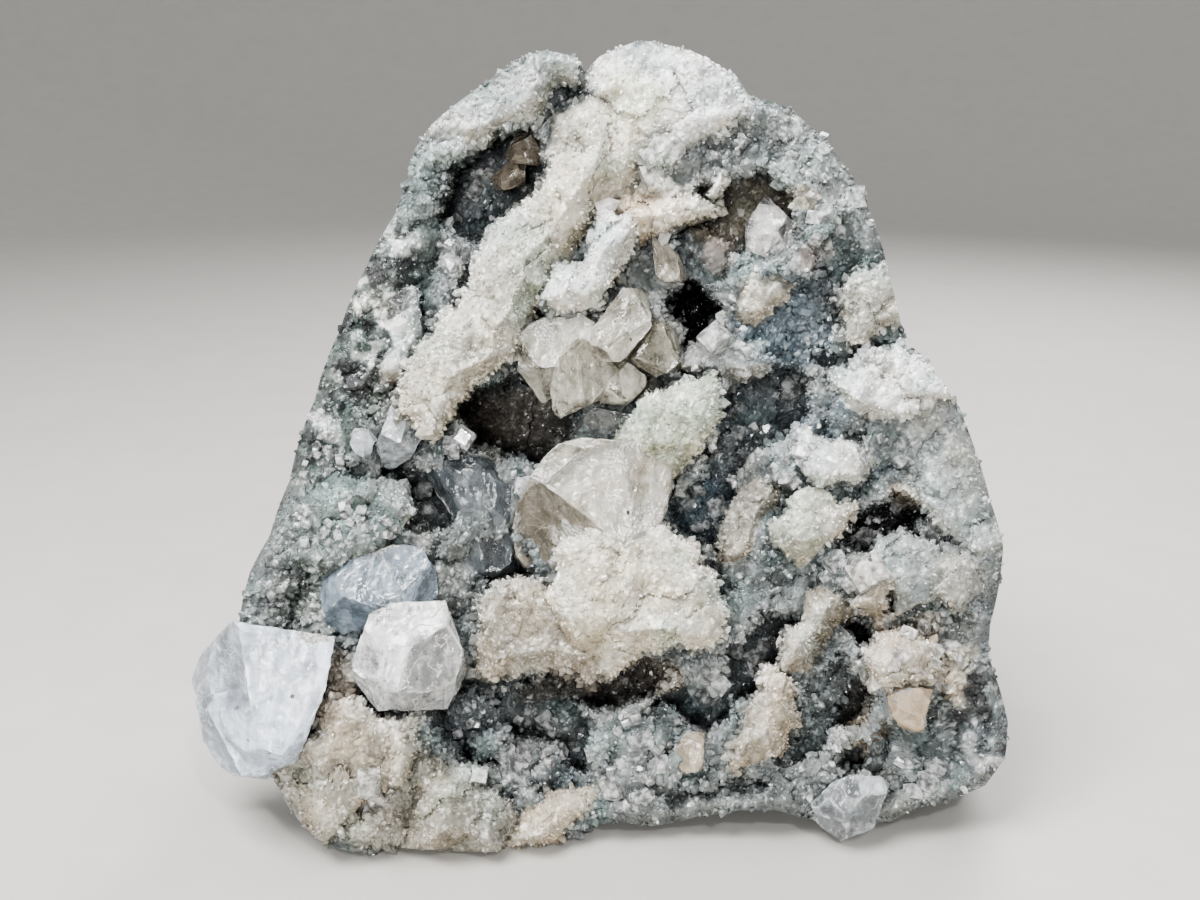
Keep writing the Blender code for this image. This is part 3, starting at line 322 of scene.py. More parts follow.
# Blocks that the quartz crust covers and is shaped by, each with its colour and that colour's strength
GROWTHS = (
    # long ridge
    dict(rise=15, faces=((0.42, -0.27, 0.02), (-0.75, 0.47, 0.04)), tint=("cream", 0.75), outline=(
        (-12, 75.5), (-25, 54.5), (-36.3, 40), (-48.8, 16.3), (-50.5, 8), (-40, 4.5), (-33, 5.5),
        (-22, 18.8), (-10, 41.3), (5, 58.8), (6.3, 70))),
    # upper spur
    dict(rise=17,
         faces=((0.55, -0.4, 0), (-0.75, 0.2, 0.12), (0.1, 0.6, 0.5)), tint=("white", 0.8), outline=(
        (3.3, 59.5), (10, 60.5), (11, 58.8), (6.8, 47), (5.5, 42.5), (-1.5, 35.5), (-10, 36.3),
        (-12.5, 40.5), (-11, 43.8), (-3.3, 50.5))),
    # hole ledge
    dict(rise=2, faces=((0, -0.4, 0), (0.1, 0.7, 0.35)), tint=("pale", 0.7), outline=(
        (22.5, 22), (26.5, 27.8), (30.8, 28.4), (39, 26.2), (39.2, 20.8), (33.5, 18.3), (27, 18.2))),
    # cream lump
    dict(rise=3, faces=DOME, tint=("cream", 0.8), outline=(
        (34, 39.5), (36.8, 43.5), (41, 45.9), (48.3, 45), (47.3, 40), (43.5, 35.1), (38.7, 33.3),
        (35.3, 36.1))),
    # white facet
    dict(rise=7,
         faces=((0.15, 0.05, 0), (0, 0.9, 0.75), (-0.8, 0, 0.8)), tint=("cream", 0.55), outline=(
        (62, 44.3), (67.4, 48), (71.7, 50.5), (73.7, 47), (76.7, 39), (77.7, 30.3), (72.2, 29.9),
        (65, 28.5), (60.7, 29.4), (60.7, 36))),
    # right blade
    dict(rise=3, faces=((0.5, -0.3, 0), (-0.75, 0.4, 0.1)), tint=("beige", 0.7), outline=(
        (40, -9.5), (46.5, -12.3), (44.4, -17.7), (35.7, -27.5), (30.9, -27.5), (31.2, -22),
        (34, -15.5))),
    # right knob
    dict(rise=10, faces=DOME, tint=("cream", 0.8), outline=(
        (52, -11.2), (58, -13.4), (63.9, -16), (59.5, -21), (54.7, -26.4), (49.3, -29), (43.9, -23.1),
        (46, -17.7), (48.7, -13.3))),
    # cream ledge
    dict(rise=11,
         faces=((0.2, -0.3, 0), (-0.5, 0.1, 0.4), (0.1, 0.7, 0.3)), tint=("sand", 0.7), outline=(
        (62.3, -40.5), (67.7, -31.8), (74.2, -30.8), (76.4, -32.4), (72, -38.3), (69.9, -44.9),
        (66, -42.7))),
    # rosy ledge
    dict(rise=14,
         faces=((0.1, -0.5, 0), (-0.7, 0.2, 0.5), (0.6, 0.3, 0.3)), tint=("sand", 0.65), outline=(
        (61.8, -54.6), (64.5, -50.3), (71.5, -47.5), (77.5, -49.2), (85, -54.6), (84.2, -58),
        (77, -57.6), (70.4, -59.5), (67.2, -58.9))),
    # lower ridge
    dict(rise=7, faces=((0.5, -0.3, 0), (-0.75, 0.45, 0.1)), tint=("beige", 0.8), outline=(
        (51.5, -33.5), (58, -36.8), (61, -41.5), (55, -50.8), (47.5, -58.3), (41.3, -54.5), (45, -47.5),
        (46, -41))),
    dict(rise=9,
         faces=((0.5, -0.25, 0), (-0.75, 0.35, 0.1), (0.1, 0.6, 0.4)), tint=("peach", 0.65), outline=(
        (41.3, -54), (48, -57.5), (45.5, -65.5), (43, -72), (38, -79), (34, -80), (31.8, -77.5),
        (33.5, -69.5), (36, -62.5))),
    # small blade
    dict(rise=-2, faces=((0.2, 0, 0), (-0.5, 0.3, 0.3)), tint=("tan", 0.7), outline=(
        (68.3, -62), (71.2, -65.5), (71, -71), (66, -74.7), (61.8, -73), (61.8, -69.8))),
    # base mound
    dict(rise=9,
         faces=((0.1, 0.05, 0), (0.5, 0.2, 0.4), (-0.5, 0.1, 0.5), (0.1, 0.9, 0.8)), tint=("beige", 0.85),
         outline=(
        (-74.8, -76), (-71, -67.8), (-61.5, -66.5), (-40, -66.5), (-40, -72.5), (-45.4, -77.4),
        (-47.6, -81.5), (-50.5, -97.5), (-53, -99.4), (-62.8, -103.1), (-72.5, -98), (-77.9, -91.5),
        (-83.3, -84))),
    # base cluster
    dict(rise=11, faces=DOME, tint=("beige", 0.6), outline=(
        (-46.5, -82), (-42.5, -78.5), (-36.3, -78.5), (-31, -83), (-24.8, -87.7), (-21.3, -92.8),
        (-24.8, -98), (-26, -101), (-38.5, -102.5), (-48.9, -100.3), (-49.4, -98))),
    # bottom edge
    dict(rise=5, faces=((0.1, -0.5, 0), (0, 0.8, 0.4)), tint=("peach", 0.65), outline=(
        (-20.3, -92.8), (-15.5, -88.3), (-8.8, -84.8), (-2.3, -84.3), (-1.3, -91), (-8, -96.9),
        (-13.3, -99.5), (-19, -102), (-24.8, -101.5))),
    # crown
    dict(rise=8,
         faces=((0.1, 0.1, 0), (0.6, 0.3, 0.55), (-0.4, -0.5, 0.5)), tint=("white", 0.45), outline=(
        (0, 98), (10, 102), (22.5, 99.5), (33.8, 93), (36.3, 88.5), (28.8, 80), (20, 77.5), (10, 75),
        (2.3, 80), (-0.5, 92))),
    # left peak
    dict(rise=7, faces=((0.1, 0.1, 0), (-0.3, 0.6, 0.2)), tint=("pale", 0.6), outline=(
        (-45, 82.5), (-35, 88), (-21.3, 97.3), (-7, 98), (-5, 92), (-13, 83), (-20, 81), (-31.8, 77.5),
        (-40, 75))),
    # saddle
    dict(rise=9, faces=((0.3, -0.2, 0), (-0.5, 0.2, 0.3)), tint=("cream", 0.7), outline=(
        (-13.3, 75), (-12, 83), (0, 87.5), (10, 76), (10, 62.5), (3, 53.5), (-3.3, 60))),
    # arch lip, lower
    dict(rise=11.4,
         faces=((0.1, 0.4, 0.1), (-0.1, -0.5, 0.1), (0.5, 0.1, 0.5)), tint=("peach", 0.6), outline=(
        (2.5, 60), (9.5, 51), (15.3, 54.5), (22, 57.8), (25.6, 61.4), (20.4, 66.2), (10, 65))),
    # arch lip, upper
    dict(rise=9, faces=((0.3, -0.2, 0.1), (-0.5, 0.4, 0.1)), tint=("white", 0.6), outline=(
        (21.5, 60.5), (25.3, 62), (28, 65), (29, 69), (32, 72), (36.3, 73), (40.5, 79), (35, 82.5),
        (27, 77), (21, 69))),
    # right brow
    dict(rise=10,
         faces=((-0.1, -0.2, 0), (0.1, 0.7, 0.3), (0.6, 0.1, 0.5)), tint=("white", 0.8), outline=(
        (61.3, 18.8), (67.5, 23), (76.3, 23.8), (85, 17.5), (88, 11.3), (78.8, 8.8), (67.5, 9),
        (62, 12.5))),
    # right tuft
    dict(rise=8, faces=LOW_DOME, tint=("white", 0.7), outline=(
        (53.5, 4), (65, 1.8), (67.5, -2.5), (64.5, -9), (57.5, -9.5), (53, -3.8))),
    # right slope
    dict(rise=3, faces=((0.4, -0.3, 0), (-0.5, 0.3, 0.3)), tint=("slate", 0.6), outline=(
        (41.8, -9), (43.3, -2.5), (47, 1.8), (53.5, 4), (54.8, -4.8), (50.3, -11.3))),
    # right rim
    dict(rise=5, faces=((-0.15, -0.1, 0), (0.5, -0.1, 0.4)), tint=("pale", 0.7), outline=(
        (76.3, 22.5), (84, 17.5), (95, -5.8), (99.5, -22.5), (93.8, -23.8), (83.8, -17.5), (76.3, -5),
        (75, 7.5))),
    # ledge under the right hollow
    dict(rise=7, faces=((0.05, -0.4, 0), (-0.3, 0.3, 0.4)), tint=("pale", 0.6), outline=(
        (67.8, -27.5), (71, -23.5), (75.8, -20), (83.5, -22), (93.8, -27.5), (92, -38), (75, -38))),
    # bottom lumps
    dict(rise=3, faces=DOME, tint=("slate", 0.5), outline=(
        (-0.8, -70.5), (7.5, -63.5), (16, -63.5), (20, -68.8), (18, -82), (16, -91.3), (5, -91.3),
        (-4, -85))),
    # left flake
    dict(rise=4, faces=((0.2, 0, 0), (-0.4, 0.1, 0.3)), tint=("white", 0.6), outline=(
        (-53.8, 37.5), (-46.5, 37.5), (-45, 26.3), (-48, 16.3), (-54, 17.5))),
    # left druse
    dict(rise=6, faces=LOW_DOME, tint=("teal", 0.8), outline=(
        (-79.5, -12.5), (-67.5, -8.8), (-52.5, -10), (-49.5, -17.5), (-56, -26.5), (-67.5, -31),
        (-79, -29))),
    # knob of the centre cluster
    dict(rise=14, faces=DOME, tint=("celery", 0.6), outline=(
        (4.3, 3), (10, 10), (14.3, 14.5), (22.5, 16.5), (28, 17.3), (31, 13.3), (31.5, 7.5), (29, 2.5),
        (25, -3), (19, -6.5), (13.8, -5))),
    # plate of the centre cluster
    dict(rise=18,
         faces=((0.05, -0.3, 0), (-0.6, 0.1, 0.6), (0.1, 0.75, 0.5), (0.5, 0.1, 0.7)), tint=("cream", 0.9),
         outline=(
        (-2.5, -17.5), (13, -16.3), (18, -17.8), (26.5, -26.5), (30.5, -38.8), (30.5, -45), (28, -47.5),
        (10, -51.3), (0, -53.5), (-10, -47.5), (-13.8, -37.5), (-10, -27.5))),
    # lower plate of the centre cluster
    dict(rise=11, faces=((0.1, -0.2, 0), (0.6, 0.2, 0.5), (0, 0.7, 0.4)), tint=("beige", 0.8), outline=(
        (-23.8, -33), (-15, -32.5), (-3.8, -40.5), (2.5, -50), (-2.5, -54.8), (-18.3, -55.5),
        (-26.5, -56), (-30, -53), (-32, -47.5), (-32, -43), (-28.8, -37.5))),
)

# Plain colours of the minerals, as sRGB, and a black that is painted shade in holes, gaps and nooks
PALETTE = {
    "slate": (0.40, 0.42, 0.42),
    "pale": (0.60, 0.615, 0.61),
    "white": (0.86, 0.86, 0.85),
    "cream": (0.76, 0.735, 0.68),
    "sand": (0.67, 0.62, 0.555),
    "peach": (0.78, 0.715, 0.635),
    "pink": (0.76, 0.69, 0.67),
    "celery": (0.74, 0.76, 0.66),
    "beige": (0.59, 0.56, 0.51),
    "tan": (0.52, 0.47, 0.41),
    "teal": (0.42, 0.458, 0.452),
    "moss": (0.34, 0.37, 0.355),
    "blue": (0.38, 0.425, 0.46),
    "deep": (0.29, 0.34, 0.37),
    "charcoal": (0.36, 0.38, 0.39),
    "umber": (0.35, 0.33, 0.31),
    "basalt": (0.20, 0.205, 0.21),
    # Painted shade: black for the darkness deep in holes, gaps and nooks.
    "black": (0.06, 0.06, 0.06),
}

# Where the face takes each colour: colour, across, up, half length, half width, turn, strength.
# The black tints and the umber under the centre plate are painted shade.
TINTS = (
    ("moss", -61.0, 25.0, 38.0, 11.0, 68, 0.75),
    ("white", -49.5, 28.0, 9.0, 4.0, 85, 0.7),
    ("white", -54.0, 47.0, 11.0, 2.5, 35, 0.7),
    ("moss", -69.0, 0.5, 11.0, 8.0, 60, 0.75),
    ("moss", -76.0, -39.0, 11.0, 7.0, 60, 0.6),
    ("teal", -65.0, -21.0, 18.0, 12.0, -8, 0.75),
    ("pale", -32.0, 85.0, 24.0, 9.0, 35, 0.65),
    ("white", -36.0, 92.0, 24.0, 3.0, 35, 0.7),
    ("white", 18.0, 90.0, 22.0, 13.0, -8, 0.8),
    ("celery", 9.0, 86.0, 9.0, 8.0, 0, 0.9),
    ("pale", 59.0, 67.0, 24.0, 10.0, -55, 0.55),
    ("slate", 66.0, 51.0, 7.0, 6.0, -60, 0.7),
    ("cream", 5.0, 68.0, 20.0, 14.0, 25, 0.65),
    ("slate", 24.0, 71.0, 6.0, 6.0, 0, 0.6),
    ("white", 22.0, 61.0, 18.0, 5.5, 22, 0.75),
    ("peach", 12.5, 59.0, 10.0, 4.0, 10, 0.5),
    ("charcoal", -29.3, 61.3, 21.0, 10.5, 68, 0.92),
    ("slate", -38.0, 49.0, 6.0, 5.0, 40, 0.7),
    ("tan", 35.0, 59.0, 12.5, 9.5, 25, 0.75),
    ("umber", 29.0, 62.0, 7.0, 5.0, 30, 0.6),
    ("pink", 32.0, 48.5, 5.5, 5.0, 0, 0.7),
    ("pink", 54.5, 47.5, 5.0, 4.0, 0, 0.6),
    ("peach", 49.5, 62.5, 5.0, 4.0, 0, 0.6),
    ("blue", 47.0, 32.0, 13.0, 12.0, -40, 0.85),
    ("charcoal", 58.0, 39.5, 6.0, 6.0, 0, 0.75),
    # Painted shade: black in the black hole and the slit below it.
    ("black", 24.0, 34.0, 9.0, 6.5, 110, 1.0),
    ("black", 24.5, 23.0, 5.0, 3.0, 70, 0.9),
    ("charcoal", 40.0, 11.0, 14.0, 10.0, 35, 0.9),
    ("charcoal", 33.0, -2.0, 7.0, 6.0, 60, 0.7),
    ("umber", -20.0, 8.0, 14.0, 10.0, 15, 0.95),
    ("charcoal", -47.0, -12.0, 13.0, 8.0, -40, 0.8),
    ("deep", 26.0, -16.0, 11.0, 8.5, 40, 0.9),
    ("pale", 87.0, 0.0, 28.0, 14.0, -58, 0.5),
    ("white", 69.5, 16.0, 12.0, 7.0, -8, 0.8),
    ("blue", 55.0, 7.0, 9.0, 6.0, 10, 0.6),
    ("white", 59.0, -3.5, 7.0, 5.5, 15, 0.75),
    ("charcoal", 70.0, -6.5, 8.0, 3.5, -50, 0.7),
    # Painted shade: black in the right hollow.
    ("black", 70.0, -19.5, 11.0, 6.5, 28, 0.8),
    ("slate", 82.5, -20.0, 5.5, 5.5, 0, 0.8),
    ("peach", 74.0, -12.0, 6.0, 3.0, 10, 0.6),
    ("peach", 89.0, -33.0, 9.0, 6.5, 20, 0.6),
    ("charcoal", 95.0, -36.0, 3.5, 7.0, 0, 0.5),
    ("tan", 78.0, -45.5, 8.0, 5.5, -10, 0.6),
    ("peach", 90.0, -60.0, 4.5, 3.5, 0, 0.8),
    ("charcoal", 39.0, -51.0, 14.0, 6.5, 52, 0.85),
    ("charcoal", 28.0, -65.0, 8.0, 6.5, 40, 0.75),
    ("umber", 64.0, -63.5, 7.5, 6.0, 60, 0.85),
    # Painted shade: black in the small nook.
    ("black", 64.0, -45.5, 4.5, 3.5, 0, 0.7),
    ("charcoal", -21.0, -71.0, 24.0, 13.5, -20, 0.88),
    ("teal", -11.5, -67.0, 6.0, 4.5, 0, 0.6),
    ("teal", -25.0, -80.0, 7.0, 6.0, 0, 0.55),
    # Painted shadow: umber under the plate of the centre cluster.
    ("umber", 0.0, -56.0, 18.0, 6.5, 12, 0.85),
    ("tan", 16.0, -56.0, 6.0, 5.0, 0, 0.6),
    # Painted shade: black in the dark gap beside the centre cluster.
    ("black", -22.0, -32.0, 4.5, 8.0, 0, 0.85),
    ("pale", 7.5, -77.5, 13.0, 10.0, 0, 0.55),
    ("charcoal", 98.0, -70.0, 14.0, 8.0, -70, 0.7),
    ("slate", 79.0, -79.0, 13.0, 9.0, 20, 0.5),
    ("beige", -60.0, -84.0, 30.0, 17.0, -22, 0.8),
    ("tan", -66.0, -62.0, 8.0, 14.0, 0, 0.7),
    ("peach", 80.0, -52.0, 14.0, 8.0, -20, 0.5),
    ("white", 88.0, -20.0, 10.0, 8.0, 60, 0.35),
    ("beige", 2.0, 24.0, 18.0, 11.0, 20, 0.7),
)

# Where small crystals stand in the druse: across, up, half length, half width, turn, how many, width
SMALL_CRYSTALS = (
    (16.0, 73.0, 7.0, 5.0, 40, 6, 4.5),
    (56.0, 57.0, 6.0, 5.0, -60, 6, 4.0),
    (-18.0, -10.0, 8.0, 3.0, 80, 9, 3.2),
    (22.5, -10.5, 2.5, 2.5, 0, 2, 6.0),
    (27.5, -59.0, 4.0, 3.0, 0, 3, 5.0),
    (46.0, 13.5, 3.0, 3.0, 0, 3, 4.5),
    (39.5, 6.0, 3.0, 2.0, 0, 3, 3.8),
    (-56.0, -85.5, 4.0, 4.0, 0, 4, 5.5),
    (62.0, -31.5, 7.0, 5.0, -10, 9, 3.6),
    (-65.0, -21.0, 15.0, 9.0, -8, 60, 1.9),
    (-76.0, -39.0, 10.0, 6.0, -15, 40, 1.9),
    (-68.5, 0.5, 10.0, 5.0, 60, 26, 1.8),
    (-11.5, -68.0, 4.0, 4.0, 0, 5, 4.5),
    (-23.0, -80.0, 8.0, 5.0, 0, 10, 4.0),
    (-21.0, -70.0, 20.0, 10.0, -20, 40, 2.0),
    (9.0, -77.0, 12.0, 14.0, 0, 40, 2.6),
    (-29.0, 61.0, 17.0, 7.0, 68, 12, 2.6),
    (-38.0, 49.0, 5.0, 4.0, 40, 8, 3.4),
    (40.0, 10.0, 11.0, 8.0, 35, 12, 2.6),
    (31.0, 23.0, 9.0, 8.0, -40, 16, 3.0),
    (26.0, -18.0, 8.0, 6.0, 40, 7, 2.4),
    (71.0, -20.0, 9.0, 6.0, 28, 8, 2.8),
    (-36.0, 2.5, 2.0, 2.0, 0, 2, 4.5),
    (80.0, 4.0, 18.0, 10.0, -58, 16, 2.6),
    (78.0, -50.0, 14.0, 10.0, -20, 20, 3.0),
    (38.0, -50.0, 12.0, 5.0, 52, 12, 2.8),
    (50.0, -4.0, 8.0, 6.0, 30, 12, 2.8),
    (-45.0, -14.0, 10.0, 6.0, -48, 10, 2.8),
    (74.0, -82.0, 14.0, 7.0, 15, 12, 2.8),
    (58.0, 68.0, 16.0, 8.0, -55, 14, 2.4),
)

# How far milk and sugar stop the light that goes through a crystal
MILK_HIDES = 0.62

# Each crystal's own look: milky colour, clear colour, how clear it is and how much sugar it carries
CRYSTAL_LOOKS = {
    "corner_crystal": ((0.91, 0.95, 0.99), (0.84, 0.87, 0.91), 0.85, 0.01),
    "knuckle_crystal": ((0.96, 0.975, 0.98), (0.91, 0.91, 0.90), 0.85, 0.03),
    "blue_tablet": ((0.64, 0.69, 0.73), (0.56, 0.615, 0.66), 0.85, 0.03),
    "twin_crystals": ((0.78, 0.80, 0.81), (0.74, 0.77, 0.78), 0.9, 0.03),
    "smoky_crystal": ((0.43, 0.46, 0.475), (0.38, 0.41, 0.43), 0.85, 0.03),
    "centre_cluster": ((0.76, 0.76, 0.735), (0.74, 0.70, 0.63), 0.75, 0.13),
    "hanging_crystals": ((0.80, 0.79, 0.75), (0.80, 0.78, 0.71), 0.95, 0.04),
    "clear_slab": ((0.78, 0.76, 0.71), (0.72, 0.69, 0.63), 0.8, 0.04),
    "tip_shadow_crystal": ((0.64, 0.65, 0.65), (0.60, 0.61, 0.61), 0.8, 0.03),
    "pyramid_crystal": ((0.82, 0.81, 0.805), (0.80, 0.795, 0.79), 0.95, 0.02),
    "crown_crystal": ((0.90, 0.91, 0.90), (0.84, 0.85, 0.84), 0.85, 0.02),
    "pit_crystals": ((0.68, 0.64, 0.58), (0.60, 0.56, 0.50), 0.7, 0.04),
    "peach_crystal": ((0.86, 0.79, 0.70), (0.80, 0.71, 0.60), 0.5, 0.05),
    "toe_crystal": ((0.90, 0.92, 0.93), (0.80, 0.825, 0.84), 0.9, 0.03),
    "hex_crystal": ((0.79, 0.745, 0.68), (0.70, 0.65, 0.58), 0.5, 0.05),
}


def on_sight(across, up, out):
    """Points on the lines of sight through a place in the picture plane, out mm before the middle:
    the eye plus a share of the way to that place, the share being the one that reaches that depth.
    """
    run = (EYE_BACK - out) / (PICTURE_DISTANCE * math.cos(LOOK_DOWN) + up * math.sin(LOOK_DOWN))
    x = run * across - SHIFT_X
    z = EYE_HEIGHT + run * (up * math.cos(LOOK_DOWN) - PICTURE_DISTANCE * math.sin(LOOK_DOWN))
    return np.stack(np.broadcast_arrays(x, -out - SHIFT_Y, z), axis=-1)


def in_picture(points):
    """Across and up of points on the lines of sight: on_sight solved the other way."""
    back = EYE_BACK + points[:, 1] + SHIFT_Y
    down = EYE_HEIGHT - points[:, 2]
    run = (back * math.cos(LOOK_DOWN) + down * math.sin(LOOK_DOWN)) / PICTURE_DISTANCE
    up = (back * math.sin(LOOK_DOWN) - down * math.cos(LOOK_DOWN)) / run
    return (points[:, 0] + SHIFT_X) / run, up


def smooth_step(low, high, value):
    """0 below low, 1 above high, and 3s squared less 2s cubed of the share s between."""
    share = np.clip((value - low) / (high - low), 0, 1)
    return share * share * (3 - 2 * share)


def blend(first, second, share):
    """The first where the share is 0, the second where it is 1, and straight between them."""
    return first * (1 - share) + second * share


def soft_ellipse(across, up, mid_across, mid_up, half_long, half_wide, turn, inner=0.72, outer=1.15):
    """1 inside a turned ellipse and 0 outside it, with a soft change from inner to outer radius."""
    angle = math.radians(turn)
    along = (across - mid_across) * math.cos(angle) + (up - mid_up) * math.sin(angle)
    aside = (up - mid_up) * math.cos(angle) - (across - mid_across) * math.sin(angle)
    return 1 - smooth_step(inner, outer, np.hypot(along / half_long, aside / half_wide))


def hashed(i, j, seed):
    """A repeatable number from 0 to 1 for each pair of whole numbers: the fraction of a large sine."""
    mixed = np.sin(i * 127.1 + j * 311.7 + seed * 74.7) * 43758.5453
    return mixed - np.floor(mixed)


def wander(across, up, step, seed):
    """Smooth noise from -1 to 1: random values on a grid of the given step, eased between its corners."""
    i, j = np.floor(across / step), np.floor(up / step)
    u, v = across / step - i, up / step - j
    u, v = u * u * (3 - 2 * u), v * v * (3 - 2 * v)
    low = blend(hashed(i, j, seed), hashed(i + 1, j, seed), u)
    high = blend(hashed(i, j + 1, seed), hashed(i + 1, j + 1, seed), u)
    return 2 * blend(low, high, v) - 1


def layered(across, up, *layers):
    """A sum of smooth noises, each given as its strength, its step and its number after the seed."""
    return sum(strength * wander(across, up, step, SEED + number) for strength, step, number in layers)


def points_relief(across, up, size, seed, slope=1.0, lean=0.5):
    """Height of intergrown quartz points and the number of the one on top. Each cell of a grid holds
    one point: a peak that falls away with six-sided distance, tipped to one side. The highest wins.
    """
    cell_i, cell_j = np.floor(across / size), np.floor(up / size)
    best = np.full(across.shape, -np.inf)
    owner = np.zeros(across.shape)
    for step_i, step_j in itertools.product((-1, 0, 1), repeat=2):
        i, j = cell_i + step_i, cell_j + step_j
        aside = across - (i + 0.5 + 0.8 * (hashed(i, j, seed) - 0.5)) * size
        along = up - (j + 0.5 + 0.8 * (hashed(i, j, seed + 1) - 0.5)) * size
        turn = hashed(i, j, seed + 2) * 2 * math.pi
        sector = math.pi / 3
        bearing = np.mod(np.arctan2(along, aside) + turn, sector) - sector / 2
        distance = np.hypot(aside, along) * np.cos(bearing)
        tip = lean * (aside * np.cos(2.7 * turn) + along * np.sin(2.7 * turn))
        height = 0.7 * size * hashed(i, j, seed + 3) - slope * distance + tip
        owner = np.where(height > best, hashed(i, j, seed + 4), owner)
        best = np.maximum(best, height)
    return best, owner


def leaning_face(across, up):
    """Height of the plain face: a plane that leans back, with a swelling at the lower left."""
    swell = smooth_step(25, 75, -across) * smooth_step(25, 80, -up)
    return FACE_OUT + FACE_LEAN * up + CORNER_SWELL * swell


def ragged(across, up):
    """Sideways shifts that break a smooth edge into lobes and teeth: four sizes of noise."""
    return [
        layered(across, up, (2.6, 12.0, k), (1.8, 5.0, k + 1), (0.8, 2.2, k + 2), (0.4, 0.9, k + 3))
        for k in (90, 95)
    ]


def rock_noise(across, up):
    """Low swells all over: waves of unlike length and heading that never line up."""
    waves = ((0.31, 0.13, 0.7), (-0.17, 0.29, 0.7), (0.45, -0.38, 0.5), (0.62, 0.35, 0.35))
    return sum(
        size * np.sin(turn_a * across + turn_b * up + 2.0 * i + np.sin(turn_b * across - turn_a * up))
        for i, (turn_a, turn_b, size) in enumerate(waves)
    )


def lump_relief(across, up, size, seed):
    """Height of rounded lumps side by side and the number of the one in front. Each cell of a grid
    holds one: its own level plus a dome that falls with the squared distance. The nearest counts.
    """
    cell_i, cell_j = np.floor(across / size), np.floor(up / size)
    nearest = np.full(across.shape, np.inf)
    owner = np.zeros(across.shape)
    for step_i, step_j in itertools.product((-1, 0, 1), repeat=2):
        i, j = cell_i + step_i, cell_j + step_j
        aside = across - (i + 0.5 + 0.9 * (hashed(i, j, seed) - 0.5)) * size
        along = up - (j + 0.5 + 0.9 * (hashed(i, j, seed + 1) - 0.5)) * size
        squared = (aside / size) ** 2 + (along / size) ** 2
        owner = np.where(squared < nearest, hashed(i, j, seed + 2), owner)
        nearest = np.minimum(nearest, squared)
    return 0.34 * owner + 0.30 * (1 - nearest / 0.5), owner


def form_relief(across, up, share, shifts):
    """Height of the rock face over the leaning plane. Each form pulls the face to its own level."""
    level = np.zeros_like(across)
    for _, *place, height in FORMS:
        inside = soft_ellipse(across + shifts[0], up + shifts[1], *place, 0.86, 1.06)
        level = blend(level, height, inside)
    rim = smooth_step(0.86, 1.0, share)
    rounded = RIM_ROUNDING * smooth_step(0.955, 1.0, share) ** 2
    return blend(level, 2.0, rim) - rounded


def blurred(field, reach):
    """The field's mean over a square of cells round each point, from running sums."""
    for axis in (0, 1):
        padded = np.pad(field, [(reach + 1, reach) if k == axis else (0, 0) for k in (0, 1)], mode="edge")
        sums = np.cumsum(padded, axis=axis)
        width = 2 * reach + 1
        high = np.take(sums, np.arange(width, sums.shape[axis]), axis=axis)
        low = np.take(sums, np.arange(0, sums.shape[axis] - width), axis=axis)
        field = (high - low) / width
    return field


def inside_outline(outline, across, up):
    """Distance inside a block's outline: the least of the distances from its sides."""
    corners = np.array(outline, float)
    sides = np.roll(corners, -1, axis=0) - corners
    normals = np.stack([-sides[:, 1], sides[:, 0]], axis=1) / np.hypot(*sides.T)[:, None]
    middle = corners.mean(0)
    normals *= np.sign(((middle - corners) * normals).sum(1))[:, None]
    offsets = (normals * corners).sum(1)
    return np.min(
        [normal[0] * across + normal[1] * up - offset for normal, offset in zip(normals, offsets)], axis=0
    )


def block_top(form, across, up):
    """Height of a block's top on each line of sight: the lowest of its flat faces there."""
    outline = np.array(form["outline"], float)
    middle = outline.mean(0)
    half_size = np.hypot(*(outline - middle).T).mean()
    top = float(leaning_face(*middle)) + form["rise"]
    start = on_sight(*middle, top)
    height = np.full(across.shape, top)
    for _ in range(3):
        place = on_sight(across, up, height)
        dx, dz = place[..., 0] - start[0], place[..., 2] - start[2]
        height = np.min([
            top + slope_across * dx + (FACE_LEAN + slope_up) * dz
            + math.hypot(slope_across, slope_up) * reach * half_size
            for slope_across, slope_up, reach in form["faces"]
        ], axis=0)
    return height


def crust_height(across, up, share, shifts):
    """Height of the crust before its fine points, and how much of each growth covers each place."""
    jag = 0.6 * shifts[0] + 0.45 * shifts[1]
    along, aside = (across + 1.4 * up) / 1.72, (1.4 * across - up) / 1.72
    plates, _ = lump_relief(0.55 * along + shifts[0], aside + shifts[1], 10.0, SEED + 12)
    knobs, _ = lump_relief(across + shifts[1], up + shifts[0], 5.0, SEED + 16)
    swells = layered(across, up, (1.0, 8.0, 17), (0.5, 3.5, 18))
    base = leaning_face(across, up) + form_relief(across, up, share, shifts) + rock_noise(across, up)
    base = base + 12.0 * (plates - 0.3) * (1 - 0.6 * smooth_step(0.8, 1, share)) + 1.6 * (knobs - 0.3)
    bent_across = across + layered(across, up, (2.4, 13.0, 10), (1.2, 6.0, 13))
    bent_up = up + layered(across, up, (2.4, 13.0, 11), (1.2, 6.0, 14))
    covers = []
    for form in GROWTHS:
        inside = inside_outline(form["outline"], bent_across, bent_up) + jag + GROWTH_SPREAD
        cover = smooth_step(-0.35, 0.45, inside)
        near = cover > 0
        top = np.full(across.shape, -99.0)
        top[near] = block_top(form, bent_across[near], bent_up[near])
        rounding = 3.2 * (1 - smooth_step(-0.5, 7.0, inside)) ** 2
        top = top - rounding + 5.0 * (plates - 0.3) + 1.2 * (knobs - 0.3) + 1.5 * swells
        covers.append(cover * (top > base - 1))
        base = blend(base, np.maximum(base, top), cover)
    return base, covers


